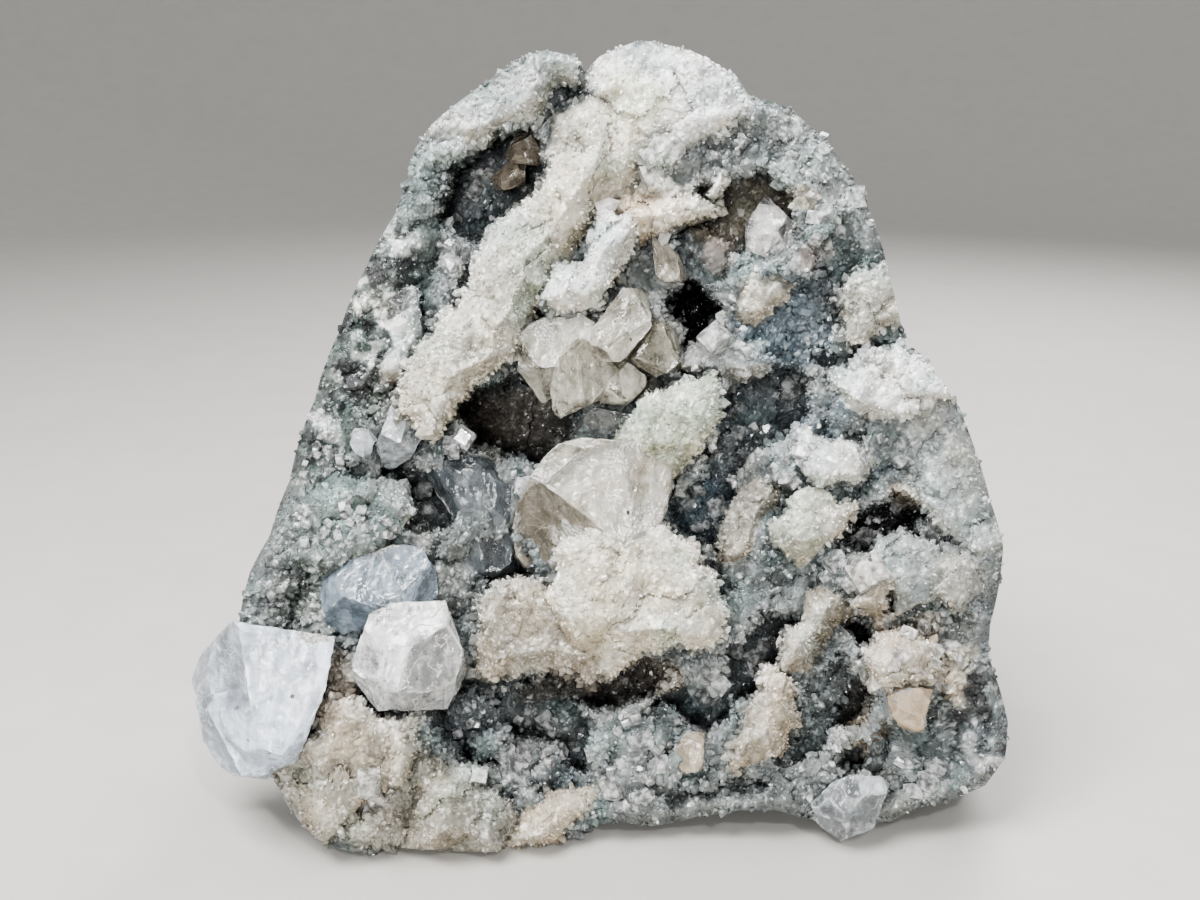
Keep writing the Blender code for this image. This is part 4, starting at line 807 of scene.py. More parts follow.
def fine_relief(across, up, covers, share):
    """Intergrown points in three sizes, fine on the frosted growths and coarse elsewhere."""
    frosted = np.clip(sum(covers), 0, 1)
    middle, owner_middle = points_relief(across, up, 3.6, SEED + 30, 0.7, 0.5)
    small, owner_small = points_relief(across, up, 1.7, SEED + 40, 0.8, 0.5)
    tiny, owner_tiny = points_relief(across, up, 0.95, SEED + 45, 0.9, 0.5)
    patchy = smooth_step(-0.2, 0.5, wander(across, up, 14.0, SEED + 50))
    relief = (
        middle * 0.42 * (1 - 0.75 * frosted) * patchy + small * (0.24 - 0.04 * frosted)
        + tiny * (0.20 + 0.06 * frosted)
    )
    relief *= 1 - 0.5 * smooth_step(0.97, 1.0, share)
    return relief, owner_middle, owner_small, owner_tiny


def outline_reach(angle):
    """Distance from the face's middle to its edge at each angle, straight between the corners."""
    points = np.array(OUTLINE) - FACE_MIDDLE
    angles = np.arctan2(points[:, 1], points[:, 0])
    order = np.argsort(angles)
    return np.interp(angle, angles[order], np.hypot(*points.T)[order], period=2 * math.pi)


def square_to_disc(cells):
    """Angle and share of the radius for each point of a square grid stretched over a disc."""
    side = np.linspace(-1, 1, cells + 1)
    u, v = np.meshgrid(side, side, indexing="ij")
    share = np.maximum(np.abs(u), np.abs(v))
    return np.arctan2(np.tan(v * math.pi / 4), np.tan(u * math.pi / 4)), share


def from_middle(share, angle):
    """Across and up for a share of the way from the middle to the edge."""
    reach = outline_reach(angle) * share
    return FACE_MIDDLE[0] + reach * np.cos(angle), FACE_MIDDLE[1] + reach * np.sin(angle)


def linear(colour):
    """An sRGB colour as light: the power 2.4 curve with its straight foot."""
    colour = np.asarray(colour, float)
    return np.where(colour <= 0.04045, colour / 12.92, ((colour + 0.055) / 1.055) ** 2.4)


def face_colours(across, up, covers, height, relief, owners, shifts, spacing):
    """Colour of the crust: the tints laid one over another, painted paler where the relief rises above its
    surroundings and darker in what lies back, warmer and darker on faces that look down, all as painted
    light and shade, with painted glints on single points.
    """
    colour = np.broadcast_to(np.array(PALETTE["slate"]), across.shape + (3,)).copy()
    for name, *place, strength in TINTS:
        reach = soft_ellipse(across + shifts[0], up + shifts[1], *place, 0.7, 1.12)[..., None] * strength
        colour = blend(colour, np.array(PALETTE[name]), reach)
    for form, cover in zip(GROWTHS, covers):
        name, strength = form["tint"]
        colour = blend(colour, np.array(PALETTE[name]), cover[..., None] * strength)
    margin = np.maximum(
        soft_ellipse(across, up, -62.0, 26.0, 40.0, 11.0, 68, 0.7, 1.1),
        soft_ellipse(across, up, 96.0, -68.0, 17.0, 9.0, -70, 0.7, 1.1),
    )
    speckle = wander(across + shifts[0], up, 2.6, SEED + 60)
    speckle = speckle + 0.6 * wander(across, up + shifts[1], 6.0, SEED + 61)
    dark = (margin * smooth_step(0.05, 0.4, -speckle) * 0.85)[..., None]
    light = (margin * smooth_step(0.25, 0.6, speckle) * 0.7)[..., None]
    colour = blend(blend(colour, np.array(PALETTE["basalt"]), dark), np.array(PALETTE["white"]), light)
    # Painted light and shade from the relief: places higher than their surroundings are painted paler,
    # places that lie back are painted darker.
    wide = height - blurred(height, int(5.0 / spacing))
    near = height - blurred(height, int(1.8 / spacing))
    grown = np.clip(sum(covers), 0, 1)[..., None]
    relief_light_and_shade = np.clip(0.065 * wide + 0.07 * near, -0.26, 0.36)[..., None] * (0.68 + 0.32 * grown)
    colour = colour * (1 + np.minimum(relief_light_and_shade, 0)) + (0.93 - colour) * np.maximum(relief_light_and_shade, 0)
    # Painted warm shade: faces that look down are painted warmer and darker, as bounce light and shade make
    # them.
    facing = blurred(height, int(0.8 / spacing))
    rise = np.gradient(facing)
    run_across, run_up = np.gradient(across), np.gradient(up)
    turned = run_across[0] * run_up[1] - run_across[1] * run_up[0]
    turned = np.where(np.abs(turned) < 1e-9, 1e-9, turned)
    slope_up = (run_across[0] * rise[1] - run_across[1] * rise[0]) / turned
    under = smooth_step(0.15, 1.1, slope_up)[..., None]
    warm = under * (0.15 + 0.4 * grown)
    colour = blend(colour, colour * np.array((0.87, 0.82, 0.745)), warm)
    drift = layered(across, up, (1.0, 9.0, 64), (0.5, 4.0, 65))[..., None]
    colour = colour * (1 + np.maximum(drift, 0) * np.array((-0.09, -0.045, -0.05)))
    colour = colour * (1 + np.maximum(-drift, 0) * np.array((-0.015, -0.03, -0.06)))
    middle, small, tiny = owners
    tone = 1 + 0.06 * (small - 0.5) + 0.06 * (tiny - 0.5) + 0.07 * (middle - 0.5)
    # Points of the fine relief that rise higher are painted a little paler and those lower a little darker:
    # painted light and shade.
    tone += 0.05 * np.clip(relief, -1.0, 1.0)
    # Painted glints: rare single points painted near white.
    painted_glint = smooth_step(0.95, 0.98, tiny)[..., None] * 0.6
    colour = colour * tone[..., None]
    colour = blend(colour, np.array(PALETTE["white"]), painted_glint)
    return linear(np.clip(colour, 0.02, 0.95))


def in_box(points, unit=MM):
    """Points in metres, from the unit they come in, kept just inside the part's own box."""
    margin = BOX_MARGIN * MM
    return np.clip(points * unit, np.array(START_LOW) + margin, np.array(START_HIGH) - margin)


def make_piece(name, points, faces, material, body_node, colours=None, smooth=False):
    """A mesh piece from arrays, riding on the one body and standing for a node of the part."""
    mesh = bpy.data.meshes.new(name)
    points, faces = np.asarray(points, np.float32), np.asarray(faces, np.int32)
    corners = faces.shape[1]
    mesh.vertices.add(len(points))
    mesh.vertices.foreach_set("co", points.ravel())
    mesh.loops.add(faces.size)
    mesh.loops.foreach_set("vertex_index", faces.ravel())
    mesh.polygons.add(len(faces))
    mesh.polygons.foreach_set("loop_start", np.arange(0, faces.size, corners, dtype=np.int32))
    mesh.polygons.foreach_set("use_smooth", np.full(len(faces), smooth))
    if colours is not None:
        layer = mesh.color_attributes.new("tint", "FLOAT_COLOR", "POINT")
        if colours.shape[1] == 3:
            colours = np.concatenate([colours, np.ones((len(colours), 1))], axis=1)
        layer.data.foreach_set("color", colours.astype(np.float32).ravel())
    mesh.update(calc_edges=True)
    mesh.validate()
    mesh.materials.append(material)
    piece = bpy.data.objects.new(name, mesh)
    bpy.context.scene.collection.objects.link(piece)
    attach(piece, "root")
    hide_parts(body_node)
    return piece


def read_crust(quarter):
    """Points, tints and faces of one quarter of the crust, which is already built."""
    mesh = bpy.data.objects[f"crust_{quarter}"].data
    points = np.empty(len(mesh.vertices) * 3, np.float32)
    mesh.vertices.foreach_get("co", points)
    tints = np.empty(len(mesh.vertices) * 4, np.float32)
    mesh.color_attributes["tint"].data.foreach_get("color", tints)
    faces = np.empty(len(mesh.polygons) * 4, np.int32)
    mesh.loops.foreach_get("vertex_index", faces)
    return points.reshape(-1, 3), tints.reshape(-1, 4), faces.reshape(-1, 4)


def ring_index(rings, around, start=0):
    """Point numbers of rings one after another, each closed by its first point."""
    index = start + np.arange(rings * around).reshape(rings, around)
    return np.hstack([index, index[:, :1]])


def grid_faces(index):
    """Four-cornered faces between neighbouring points of a grid of point numbers."""
    sides = [index[:-1, :-1], index[1:, :-1], index[1:, 1:], index[:-1, 1:]]
    return np.stack(sides, axis=-1).reshape(-1, 4)


def rim_loop(cells):
    """Grid places round the edge of a square grid, in order."""
    run = np.arange(cells)
    last = np.full(cells, cells)
    rows = np.concatenate([run, last, cells - run, 0 * run])
    columns = np.concatenate([0 * run, run, last, cells - run])
    return rows, columns


class Shader:
    """A small helper that lays out the nodes of one material."""

    def __init__(self, name):
        self.material = bpy.data.materials.new(name)
        self.material.use_nodes = True
        self.tree = self.material.node_tree
        self.surface = self.tree.nodes["Principled BSDF"]

    def node(self, kind, **inputs):
        """A node with its inputs set from values, or linked from other nodes' outputs."""
        made = self.tree.nodes.new(kind)
        for key, value in inputs.items():
            self.feed(made, int(key[1:]) if key.startswith("i") else key.title(), value)
        return made

    def feed(self, node, key, value):
        """Sets one input, or links it where the value is an output."""
        socket = node.inputs[key]
        if isinstance(value, bpy.types.NodeSocket):
            self.tree.links.new(value, socket)
        else:
            socket.default_value = value

    def surface_inputs(self, values):
        """Sets or links the Principled shader's inputs."""
        for key, value in values.items():
            self.feed(self.surface, key, value)

    def place(self):
        """The piece's own coordinates."""
        return self.node("ShaderNodeTexCoord").outputs["Object"]

    def scaled(self, scale, turn=(0, 0, 0)):
        """The piece's own coordinates, stretched and turned."""
        mapping = self.node("ShaderNodeMapping", i0=self.place())
        mapping.inputs["Scale"].default_value = scale
        mapping.inputs["Rotation"].default_value = turn
        return mapping.outputs["Vector"]

    def noise(self, scale, detail=4.0, rough=0.6, where=None):
        """Noise of a given scale, 0 to 1."""
        where = where if where is not None else self.place()
        made = self.node("ShaderNodeTexNoise", vector=where, scale=scale, detail=detail, roughness=rough)
        return made.outputs[0]

    def cells(self, scale, feature="F1", where=None):
        """A cell pattern and its node."""
        where = where if where is not None else self.place()
        made = self.node("ShaderNodeTexVoronoi", vector=where, scale=scale)
        made.feature = feature
        return made

    def curve(self, value, low, high, start=0.0, end=1.0):
        """The value's range low to high spread over start to end."""
        made = self.node("ShaderNodeMapRange", value=value)
        for key, number in zip((1, 2, 3, 4), (low, high, start, end)):
            made.inputs[key].default_value = number
        return made.outputs[0]

    def attribute(self, name, output):
        """The values that the mesh carries under a name."""
        made = self.tree.nodes.new("ShaderNodeAttribute")
        made.attribute_name = name
        return made.outputs[output]

    def mix(self, share, first, second, how="MIX", clamp=False):
        """Two colours mixed by a share, or multiplied."""
        made = self.tree.nodes.new("ShaderNodeMix")
        made.data_type = "RGBA"
        made.blend_type = how
        made.clamp_result = clamp
        self.feed(made, 0, share)
        self.feed(made, 6, first)
        self.feed(made, 7, second)
        return made.outputs[2]

    def maths(self, operation, first, second=0.0):
        """One sum of two values."""
        made = self.tree.nodes.new("ShaderNodeMath")
        made.operation = operation
        self.feed(made, 0, first)
        self.feed(made, 1, second)
        return made.outputs[0]

    def times(self, first, second):
        """One value times another."""
        return self.maths("MULTIPLY", first, second)

    def tilted(self, cells, amount, normal):
        """The normal turned by each cell's own random colour, so that every grain is a flat facet."""
        random = self.node("ShaderNodeVectorMath", i0=cells.outputs["Color"], i1=(0.5, 0.5, 0.5))
        random.operation = "SUBTRACT"
        scaled = self.node("ShaderNodeVectorMath", i0=random.outputs[0])
        scaled.operation = "SCALE"
        scaled.inputs["Scale"].default_value = amount
        both = self.node("ShaderNodeVectorMath", i0=scaled.outputs[0], i1=normal)
        unit = self.node("ShaderNodeVectorMath", i0=both.outputs[0])
        unit.operation = "NORMALIZE"
        return unit.outputs[0]

    def bump(self, height, strength, distance, under=None):
        """A relief in the light only."""
        made = self.node("ShaderNodeBump", height=height, strength=strength, distance=distance)
        if under is not None:
            self.feed(made, "Normal", under)
        return made.outputs[0]


def opaque(colour):
    """A linear colour with a full alpha."""
    return (*[float(part) for part in linear(colour)], 1.0)


def crust_material(name, clear, soft):
    """Sugary quartz: the mesh's own tint, glinting faces smaller than its triangles, rare grains painted
    brighter as painted glints, partly clear.
    """
    shader = Shader(name)
    grain = shader.cells(1050.0)
    fine = shader.noise(2600.0, 2.0, 0.5)
    own_tone = shader.node("ShaderNodeSeparateColor", i0=grain.outputs["Color"])
    pale = shader.mix(own_tone.outputs[0], (0.86, 0.86, 0.865, 1), (1.08, 1.08, 1.075, 1))
    # Painted glints: rare grains painted half again as bright.
    sparkle = shader.curve(own_tone.outputs[2], 0.94, 0.96)
    pale = shader.mix(sparkle, pale, (1.5, 1.5, 1.5, 1))
    shader.surface_inputs({
        "Base Color": shader.mix(1.0, shader.attribute("tint", "Color"), pale, "MULTIPLY", True),
        "Roughness": shader.curve(own_tone.outputs[1], 0.0, 1.0, 0.06, 0.42),
        "IOR": QUARTZ_IOR,
        "Transmission Weight": clear,
        "Subsurface Weight": soft,
        "Subsurface Radius": (1.0, 0.95, 0.88),
        "Subsurface Scale": 0.0018,
        "Normal": shader.tilted(grain, 0.6, shader.bump(fine, 0.2, 0.0003)),
    })
    return shader.material


def rock_material():
    """Dark, finely broken rock with pale specks."""
    shader = Shader("rock")
    blotch = shader.curve(shader.noise(90.0, 6.0, 0.65), 0.35, 0.7)
    specks = shader.curve(shader.cells(420.0).outputs["Distance"], 0.12, 0.24, 1.0, 0.0)
    sparse = shader.curve(shader.noise(70.0, 3.0), 0.5, 0.62, 0.0, 0.6)
    colour = shader.mix(blotch, opaque((0.14, 0.15, 0.155)), opaque((0.33, 0.335, 0.33)))
    rust = shader.curve(shader.noise(38.0, 5.0, 0.6), 0.48, 0.68, 0.0, 0.6)
    colour = shader.mix(rust, colour, opaque((0.33, 0.30, 0.26)))
    colour = shader.mix(0.35, colour, shader.attribute("tint", "Color"))
    colour = shader.mix(shader.times(specks, sparse), colour, opaque((0.52, 0.52, 0.50)))
    grain = shader.noise(900.0, 6.0, 0.7)
    shader.surface_inputs({
        "Base Color": colour,
        "Roughness": shader.curve(grain, 0.3, 0.7, 0.55, 0.9),
        "Normal": shader.bump(grain, 0.6, 0.001, shader.bump(blotch, 0.4, 0.003)),
    })
    return shader.material


def crystal_material(name, milky, clear_colour, clear, sugar):
    """Glassy crystal: each facet milky or clear to its own degree, with painted sheen and warmer painted
    shade where a block's tones are given, sharp-edged clouds, pale cracks, edges frosted and painted with
    a highlight, a few dark specks, fine striations, and patches of sugary quartz grown on it.
    """
    shader = Shader(name)
    noise, curve, maths, times, mix = shader.noise, shader.curve, shader.maths, shader.times, shader.mix
    edge = shader.attribute("edge", "Fac")
    facet = shader.attribute("facet", "Fac")
    mosaic = shader.cells(1.0, "F1", shader.scaled((330, 230, 190), (0.3, 0.5, 0.2)))
    block_tone = shader.node("ShaderNodeSeparateColor", i0=mosaic.outputs["Color"])
    flecks = curve(noise(700.0, 5.0, 0.7), 0.48, 0.58)
    bands = noise(1.0, 3.0, 0.6, shader.scaled((500, 120, 40), (0.25, 0.35, 0.2)))
    # A face's tone makes it milkier and paler or clearer; with a block's given tones this is painted sheen
    # on faces that catch the light and painted shade on faces turned away.
    milk = maths("ADD", noise(150.0, 8.0, 0.72), curve(facet, 0.0, 1.0, -0.14, 0.16))
    milk = maths("ADD", milk, curve(block_tone.outputs[0], 0.0, 1.0, -0.06, 0.06))
    milk = maths("ADD", curve(milk, 0.36, 0.66, 0.0, 0.9), times(flecks, 0.15))
    milk = maths("ADD", milk, curve(bands, 0.35, 0.65, -0.2, 0.1))
    sheets = shader.cells(1.0, "DISTANCE_TO_EDGE", shader.scaled((210, 130, 330), (0.3, 0.2, 0.4)))
    cracks = curve(sheets.outputs["Distance"], 0.0, 0.035, 1.0, 0.0)
    cracks = times(cracks, curve(noise(90.0, 4.0), 0.5, 0.6))
    veils = maths("ABSOLUTE", maths("SUBTRACT", noise(85.0, 4.0, 0.55), 0.5))
    veils = times(curve(veils, 0.0, 0.012, 1.0, 0.0), curve(noise(60.0, 2.0), 0.45, 0.55))
    cracks = maths("MAXIMUM", cracks, veils)
    # Edges painted whiter: partly the frost of chipped edges, partly a painted highlight along them.
    edge_frost_and_highlight = times(edge, curve(noise(300.0, 3.0), 0.38, 0.56))
    milk = maths("MAXIMUM", milk, maths("MAXIMUM", cracks, times(edge_frost_and_highlight, 0.9)))
    milk = maths("MAXIMUM", maths("MINIMUM", milk, 1.0), 0.0)
    mottle = curve(noise(230.0, 8.0, 0.75), 0.38, 0.62)
    # A warmer, darker copy of the milky colour for faces of low tone: painted shade where a block's tones
    # are given.
    warm = opaque([part * share for part, share in zip(milky, (0.90, 0.865, 0.85))])
    body = mix(curve(facet, 0.0, 0.8, 0.8, 0.0), opaque(milky), warm)
    body = mix(mottle, mix(0.65, body, opaque(clear_colour)), body)
    colour = mix(milk, opaque(clear_colour), body)
    specks = curve(shader.cells(260.0).outputs["Distance"], 0.10, 0.16, 1.0, 0.0)
    specks = times(specks, curve(noise(120.0, 2.0), 0.60, 0.64))
    colour = mix(specks, colour, opaque(PALETTE["basalt"]))
    grains = shader.cells(1300.0)
    patches = curve(maths("ADD", noise(75.0, 6.0, 0.65), times(edge, 0.08)), 0.66 - sugar, 0.70 - sugar)
    grain_tone = mix(grains.outputs["Distance"], opaque((0.90, 0.89, 0.87)), opaque((0.66, 0.65, 0.62)))
    colour = mix(patches, colour, grain_tone)
    lines = noise(1.0, 3.0, 0.6, shader.scaled((1500, 200, 60), (0.25, 0.35, 0.2)))
    relief = shader.bump(lines, 0.08, 0.0006, shader.bump(noise(420.0, 6.0, 0.65), 0.2, 0.001))
    relief = shader.tilted(shader.cells(950.0), 0.10, shader.tilted(mosaic, 0.22, relief))
    relief = shader.bump(grains.outputs["Distance"], times(patches, 0.8), 0.0006, relief)
    through = maths("SUBTRACT", 1.0, times(maths("MAXIMUM", milk, patches), MILK_HIDES))
    rough = maths("ADD", curve(noise(300.0, 4.0), 0.35, 0.7, 0.01, 0.10), times(patches, 0.25))
    shader.surface_inputs({
        "Base Color": colour,
        "Roughness": rough,
        "IOR": APOPHYLLITE_IOR,
        "Transmission Weight": times(through, clear),
        "Specular IOR Level": 0.8,
        "Normal": relief,
    })
    return shader.material


def small_crystal_material():
    """Small clear to milky crystals that take half their colour from the druse under them."""
    shader = Shader("small_crystals")
    cloud = shader.curve(shader.noise(500.0, 4.0, 0.6), 0.38, 0.62)
    colour = shader.mix(shader.times(cloud, 0.5), shader.attribute("tint", "Color"), (0.80, 0.81, 0.81, 1.0))
    shader.surface_inputs({
        "Base Color": colour,
        "Roughness": shader.curve(shader.noise(900.0, 2.0), 0.35, 0.7, 0.04, 0.25),
        "IOR": APOPHYLLITE_IOR,
        "Transmission Weight": shader.curve(cloud, 0.0, 1.0, 0.75, 0.2),
        "Normal": shader.bump(shader.noise(900.0, 4.0), 0.12, 0.0005),
    })
    return shader.material


def half_spaces(form):
    """Outward normals and distances of the planes that bound one block: its sides, each through the
    eye and one side of its outline, its faces, its root and the floor.
    """
    outline = np.array(form["outline"], float)
    middle = outline.mean(0)
    half_size = np.hypot(*(outline - middle).T).mean()
    face_out = float(leaning_face(*middle)) + form["rise"]
    eye = on_sight(0.0, 0.0, EYE_BACK)
    core = on_sight(*middle, face_out - form["depth"] / 2)
    rim = on_sight(outline[:, 0], outline[:, 1], face_out) - eye
    normals = np.cross(rim, np.roll(rim, -1, axis=0))
    normals /= np.linalg.norm(normals, axis=1)[:, None]
    normals *= np.sign(((eye - core) * normals).sum(1))[:, None]
    distances = normals @ eye
    top = on_sight(*middle, face_out)
    for slope_across, slope_up, reach in form["faces"]:
        steep = math.hypot(slope_across, slope_up)
        normal = np.array([-slope_across, -1.0, -(FACE_LEAN + slope_up)])
        normal /= np.linalg.norm(normal)
        normals = np.vstack([normals, normal])
        distances = np.append(distances, normal @ (top - (0, steep * reach * half_size, 0)))
    root = -(face_out - form["depth"]) - SHIFT_Y
    normals = np.vstack([normals, (0, 1, 0), (0, 0, -1)])
    return normals, np.append(distances, (root, -FLOOR_GAP))


def corners_of(normals, distances):
    """Points where three of the planes meet and no other plane cuts them off."""
    triples = np.array(list(itertools.combinations(range(len(normals)), 3)))
    planes = normals[triples]
    meet = np.abs(np.linalg.det(planes)) > 1e-6
    points = np.linalg.solve(planes[meet], distances[triples[meet]][..., None])[..., 0]
    inside = (points @ normals.T <= distances + 1e-5).all(1)
    return np.unique(np.round(points[inside], 4), axis=0)


def chipped(normals, distances, chips, depth, draw):
    """The planes with more that shave corners: each stands across a random heading, a little inside
    the farthest corner that way.
    """
    corners = corners_of(normals, distances)
    headings = draw.normal(size=(chips, 3))
    headings[:, 1] = -np.abs(headings[:, 1])
    headings /= np.linalg.norm(headings, axis=1)[:, None]
    reach = (corners @ headings.T).max(0) - depth * draw.uniform(0.2, 1.0, chips)
    return np.vstack([normals, headings]), np.append(distances, reach)


def flat_faces(normals, distances):
    """Number, normal and corners of each plane that has a face: at least three corners lie on it."""
    corners = corners_of(normals, distances)
    for number, (normal, distance) in enumerate(zip(normals, distances)):
        own = corners[np.abs(corners @ normal - distance) < ON_PLANE]
        if len(own) >= 3:
            yield number, normal, own


def in_order(corners, normal):
    """A flat face's corners sorted by their bearing from its middle."""
    side_a = np.cross(normal, (0.3, 0.5, 0.8))
    side_a /= np.linalg.norm(side_a)
    side_b = np.cross(normal, side_a)
    flat = (corners - corners.mean(0)) @ np.stack([side_a, side_b], axis=1)
    return corners[np.argsort(np.arctan2(flat[:, 1], flat[:, 0]))]


def weld(points, triangles):
    """Makes points at one place one: the numbers of those kept, the triangles that still have three
    corners, and which ones they are.
    """
    _, first, merged = np.unique(np.round(points, 3), axis=0, return_index=True, return_inverse=True)
    triangles = merged.reshape(-1)[triangles]
    real = (triangles[:, 0] != triangles[:, 1]) & (triangles[:, 1] != triangles[:, 2])
    real &= triangles[:, 0] != triangles[:, 2]
    return first, triangles[real], real


def facet_fan(corners, normal, spacing, relief, draw):
    """One flat face as a grid: along its outline, and from its middle out to the outline. Its inside
    has low growth steps, which fade out at the outline so that faces meet edge to edge.
    """
    middle = corners.mean(0)
    corners = in_order(corners, normal)
    following = np.roll(corners, -1, axis=0)
    lengths = np.linalg.norm(following - corners, axis=1)
    counts = np.maximum(1, np.ceil(lengths / spacing)).astype(int)
    rim = np.concatenate([
        start + (end - start) * (np.arange(count) / count)[:, None]
        for start, end, count in zip(corners, following, counts)
    ])
    rings = max(2, int(np.linalg.norm(rim - middle, axis=1).mean() / spacing))
    share = np.linspace(0, 1, rings + 1)[1:, None, None]
    grid = middle + (rim - middle) * share
    heading = draw.normal(size=3)
    heading -= normal * (heading @ normal)
    heading /= np.linalg.norm(heading)
    along = (grid - middle) @ heading + 0.8 * np.sin(0.9 * ((grid - middle) @ np.cross(normal, heading)))
    step = draw.uniform(2.0, 4.5)
    terrace = np.floor(along / step) + smooth_step(0.86, 1.0, np.mod(along / step, 1))
    terrace -= terrace.min()
    fade = (1 - share[..., 0]) ** 0.35 * smooth_step(0.0, 0.14, 1 - share[..., 0])
    grid = grid - normal * (relief * terrace * fade)[..., None]
    points = np.vstack([middle[None] - normal * relief * terrace[0].mean(), grid.reshape(-1, 3)])
    count = len(rim)
    index = ring_index(rings, count, 1)
    inner, outer = index[:-1], index[1:]
    quads = np.stack([inner[:, :-1], outer[:, :-1], outer[:, 1:], inner[:, 1:]], axis=-1).reshape(-1, 4)
    fan = np.stack([np.zeros(count, int), index[0, :-1], index[0, 1:]], axis=-1)
    triangles = np.vstack([fan, quads[:, [0, 1, 2]], quads[:, [0, 2, 3]]])
    near_edge = np.concatenate([[0.0], np.repeat(smooth_step(0.80, 1.0, share[:, 0, 0]), count)])
    return points, triangles, near_edge


def crystal_arrays(forms, chips, depth, spacing, relief, draw):
    """Points, triangles, edge frost and facet tones of a crystal: each block's faces as fans, joined
    at their edges.
    """
    points, triangles, frost, tone, start = [], [], [], [], 0
    for form in forms:
        planes = chipped(*half_spaces(form), form.get("chips", chips), depth, draw)
        sides = len(form["outline"])
        for number, normal, own in flat_faces(*planes):
            grid, fan, edge = facet_fan(own, normal, spacing, relief, draw)
            points.append(grid)
            triangles.append(fan + start)
            frost.append(edge)
            place = number - sides
            # Given tones paint sheen and shade on chosen faces as painted light; other faces take a random
            # tone.
            tones = form.get("tones", ())
            own_tone = tones[place] if 0 <= place < len(tones) else draw.uniform()
            tone.append(np.full(len(fan), own_tone))
            start += len(grid)
    points = np.vstack(points)
    first, triangles, real = weld(points, np.vstack(triangles))
    return points[first], triangles, np.concatenate(frost)[first], np.concatenate(tone)[real]


def worn(points, frost, middle, rounding, swell):
    """Points drawn in towards a crystal's middle: most along its edges, and a little in soft dents."""
    inward = middle - points
    inward /= np.linalg.norm(inward, axis=1)[:, None] + 1e-9
    across, up = points[:, 0], points[:, 2]
    dents = wander(across, up + 0.6 * points[:, 1], 4.0, SEED + 31)
    dents = dents + 0.5 * wander(across, up, 1.8, SEED + 32)
    return points + inward * (rounding * frost**2 + swell * (1 - frost) * np.maximum(dents, 0))[:, None]


def sway(points, amount):
    """Points moved by smooth waves in all three directions, so that no edge is quite straight."""
    x, y, z = points.T
    moves = np.stack([
        np.sin(0.9 * y + 1.3 * z) + np.sin(2.3 * z + 0.7 * x),
        np.sin(1.1 * x + 0.8 * z) + np.sin(1.9 * x - 1.7 * y),
        np.sin(1.0 * x - 1.2 * y) + np.sin(2.1 * y + 0.9 * x),
    ], axis=1)
    return points + amount * moves


class ClusterSettings(bpy.types.PropertyGroup):
    """Sizes and colours that a user of the specimen would change."""

    crust_cells: bpy.props.IntProperty(
        name="Crust cells", description="Cells along one side of the crust's grid",
        default=540, min=40, max=620,
    )
    point_count: bpy.props.IntProperty(
        name="Quartz points", description="How many small quartz points stand on the crust",
        default=26000, min=100, max=30000,
    )
    point_width: bpy.props.FloatProperty(
        name="Point width", description="Width of a middling quartz point", default=0.0009, unit="LENGTH"
    )
    crystal_spacing: bpy.props.FloatProperty(
        name="Crystal grid", description="Spacing of the grid on a crystal's faces",
        default=0.0009, unit="LENGTH",
    )
    crust_clear: bpy.props.FloatProperty(
        name="Crust clarity", description="How much light the crust lets through", default=0.0,
        subtype="FACTOR", min=0, max=1,
    )
    floor_colour: bpy.props.FloatVectorProperty(
        name="Floor", description="Colour of the floor", default=(0.70, 0.69, 0.67), subtype="COLOR"
    )


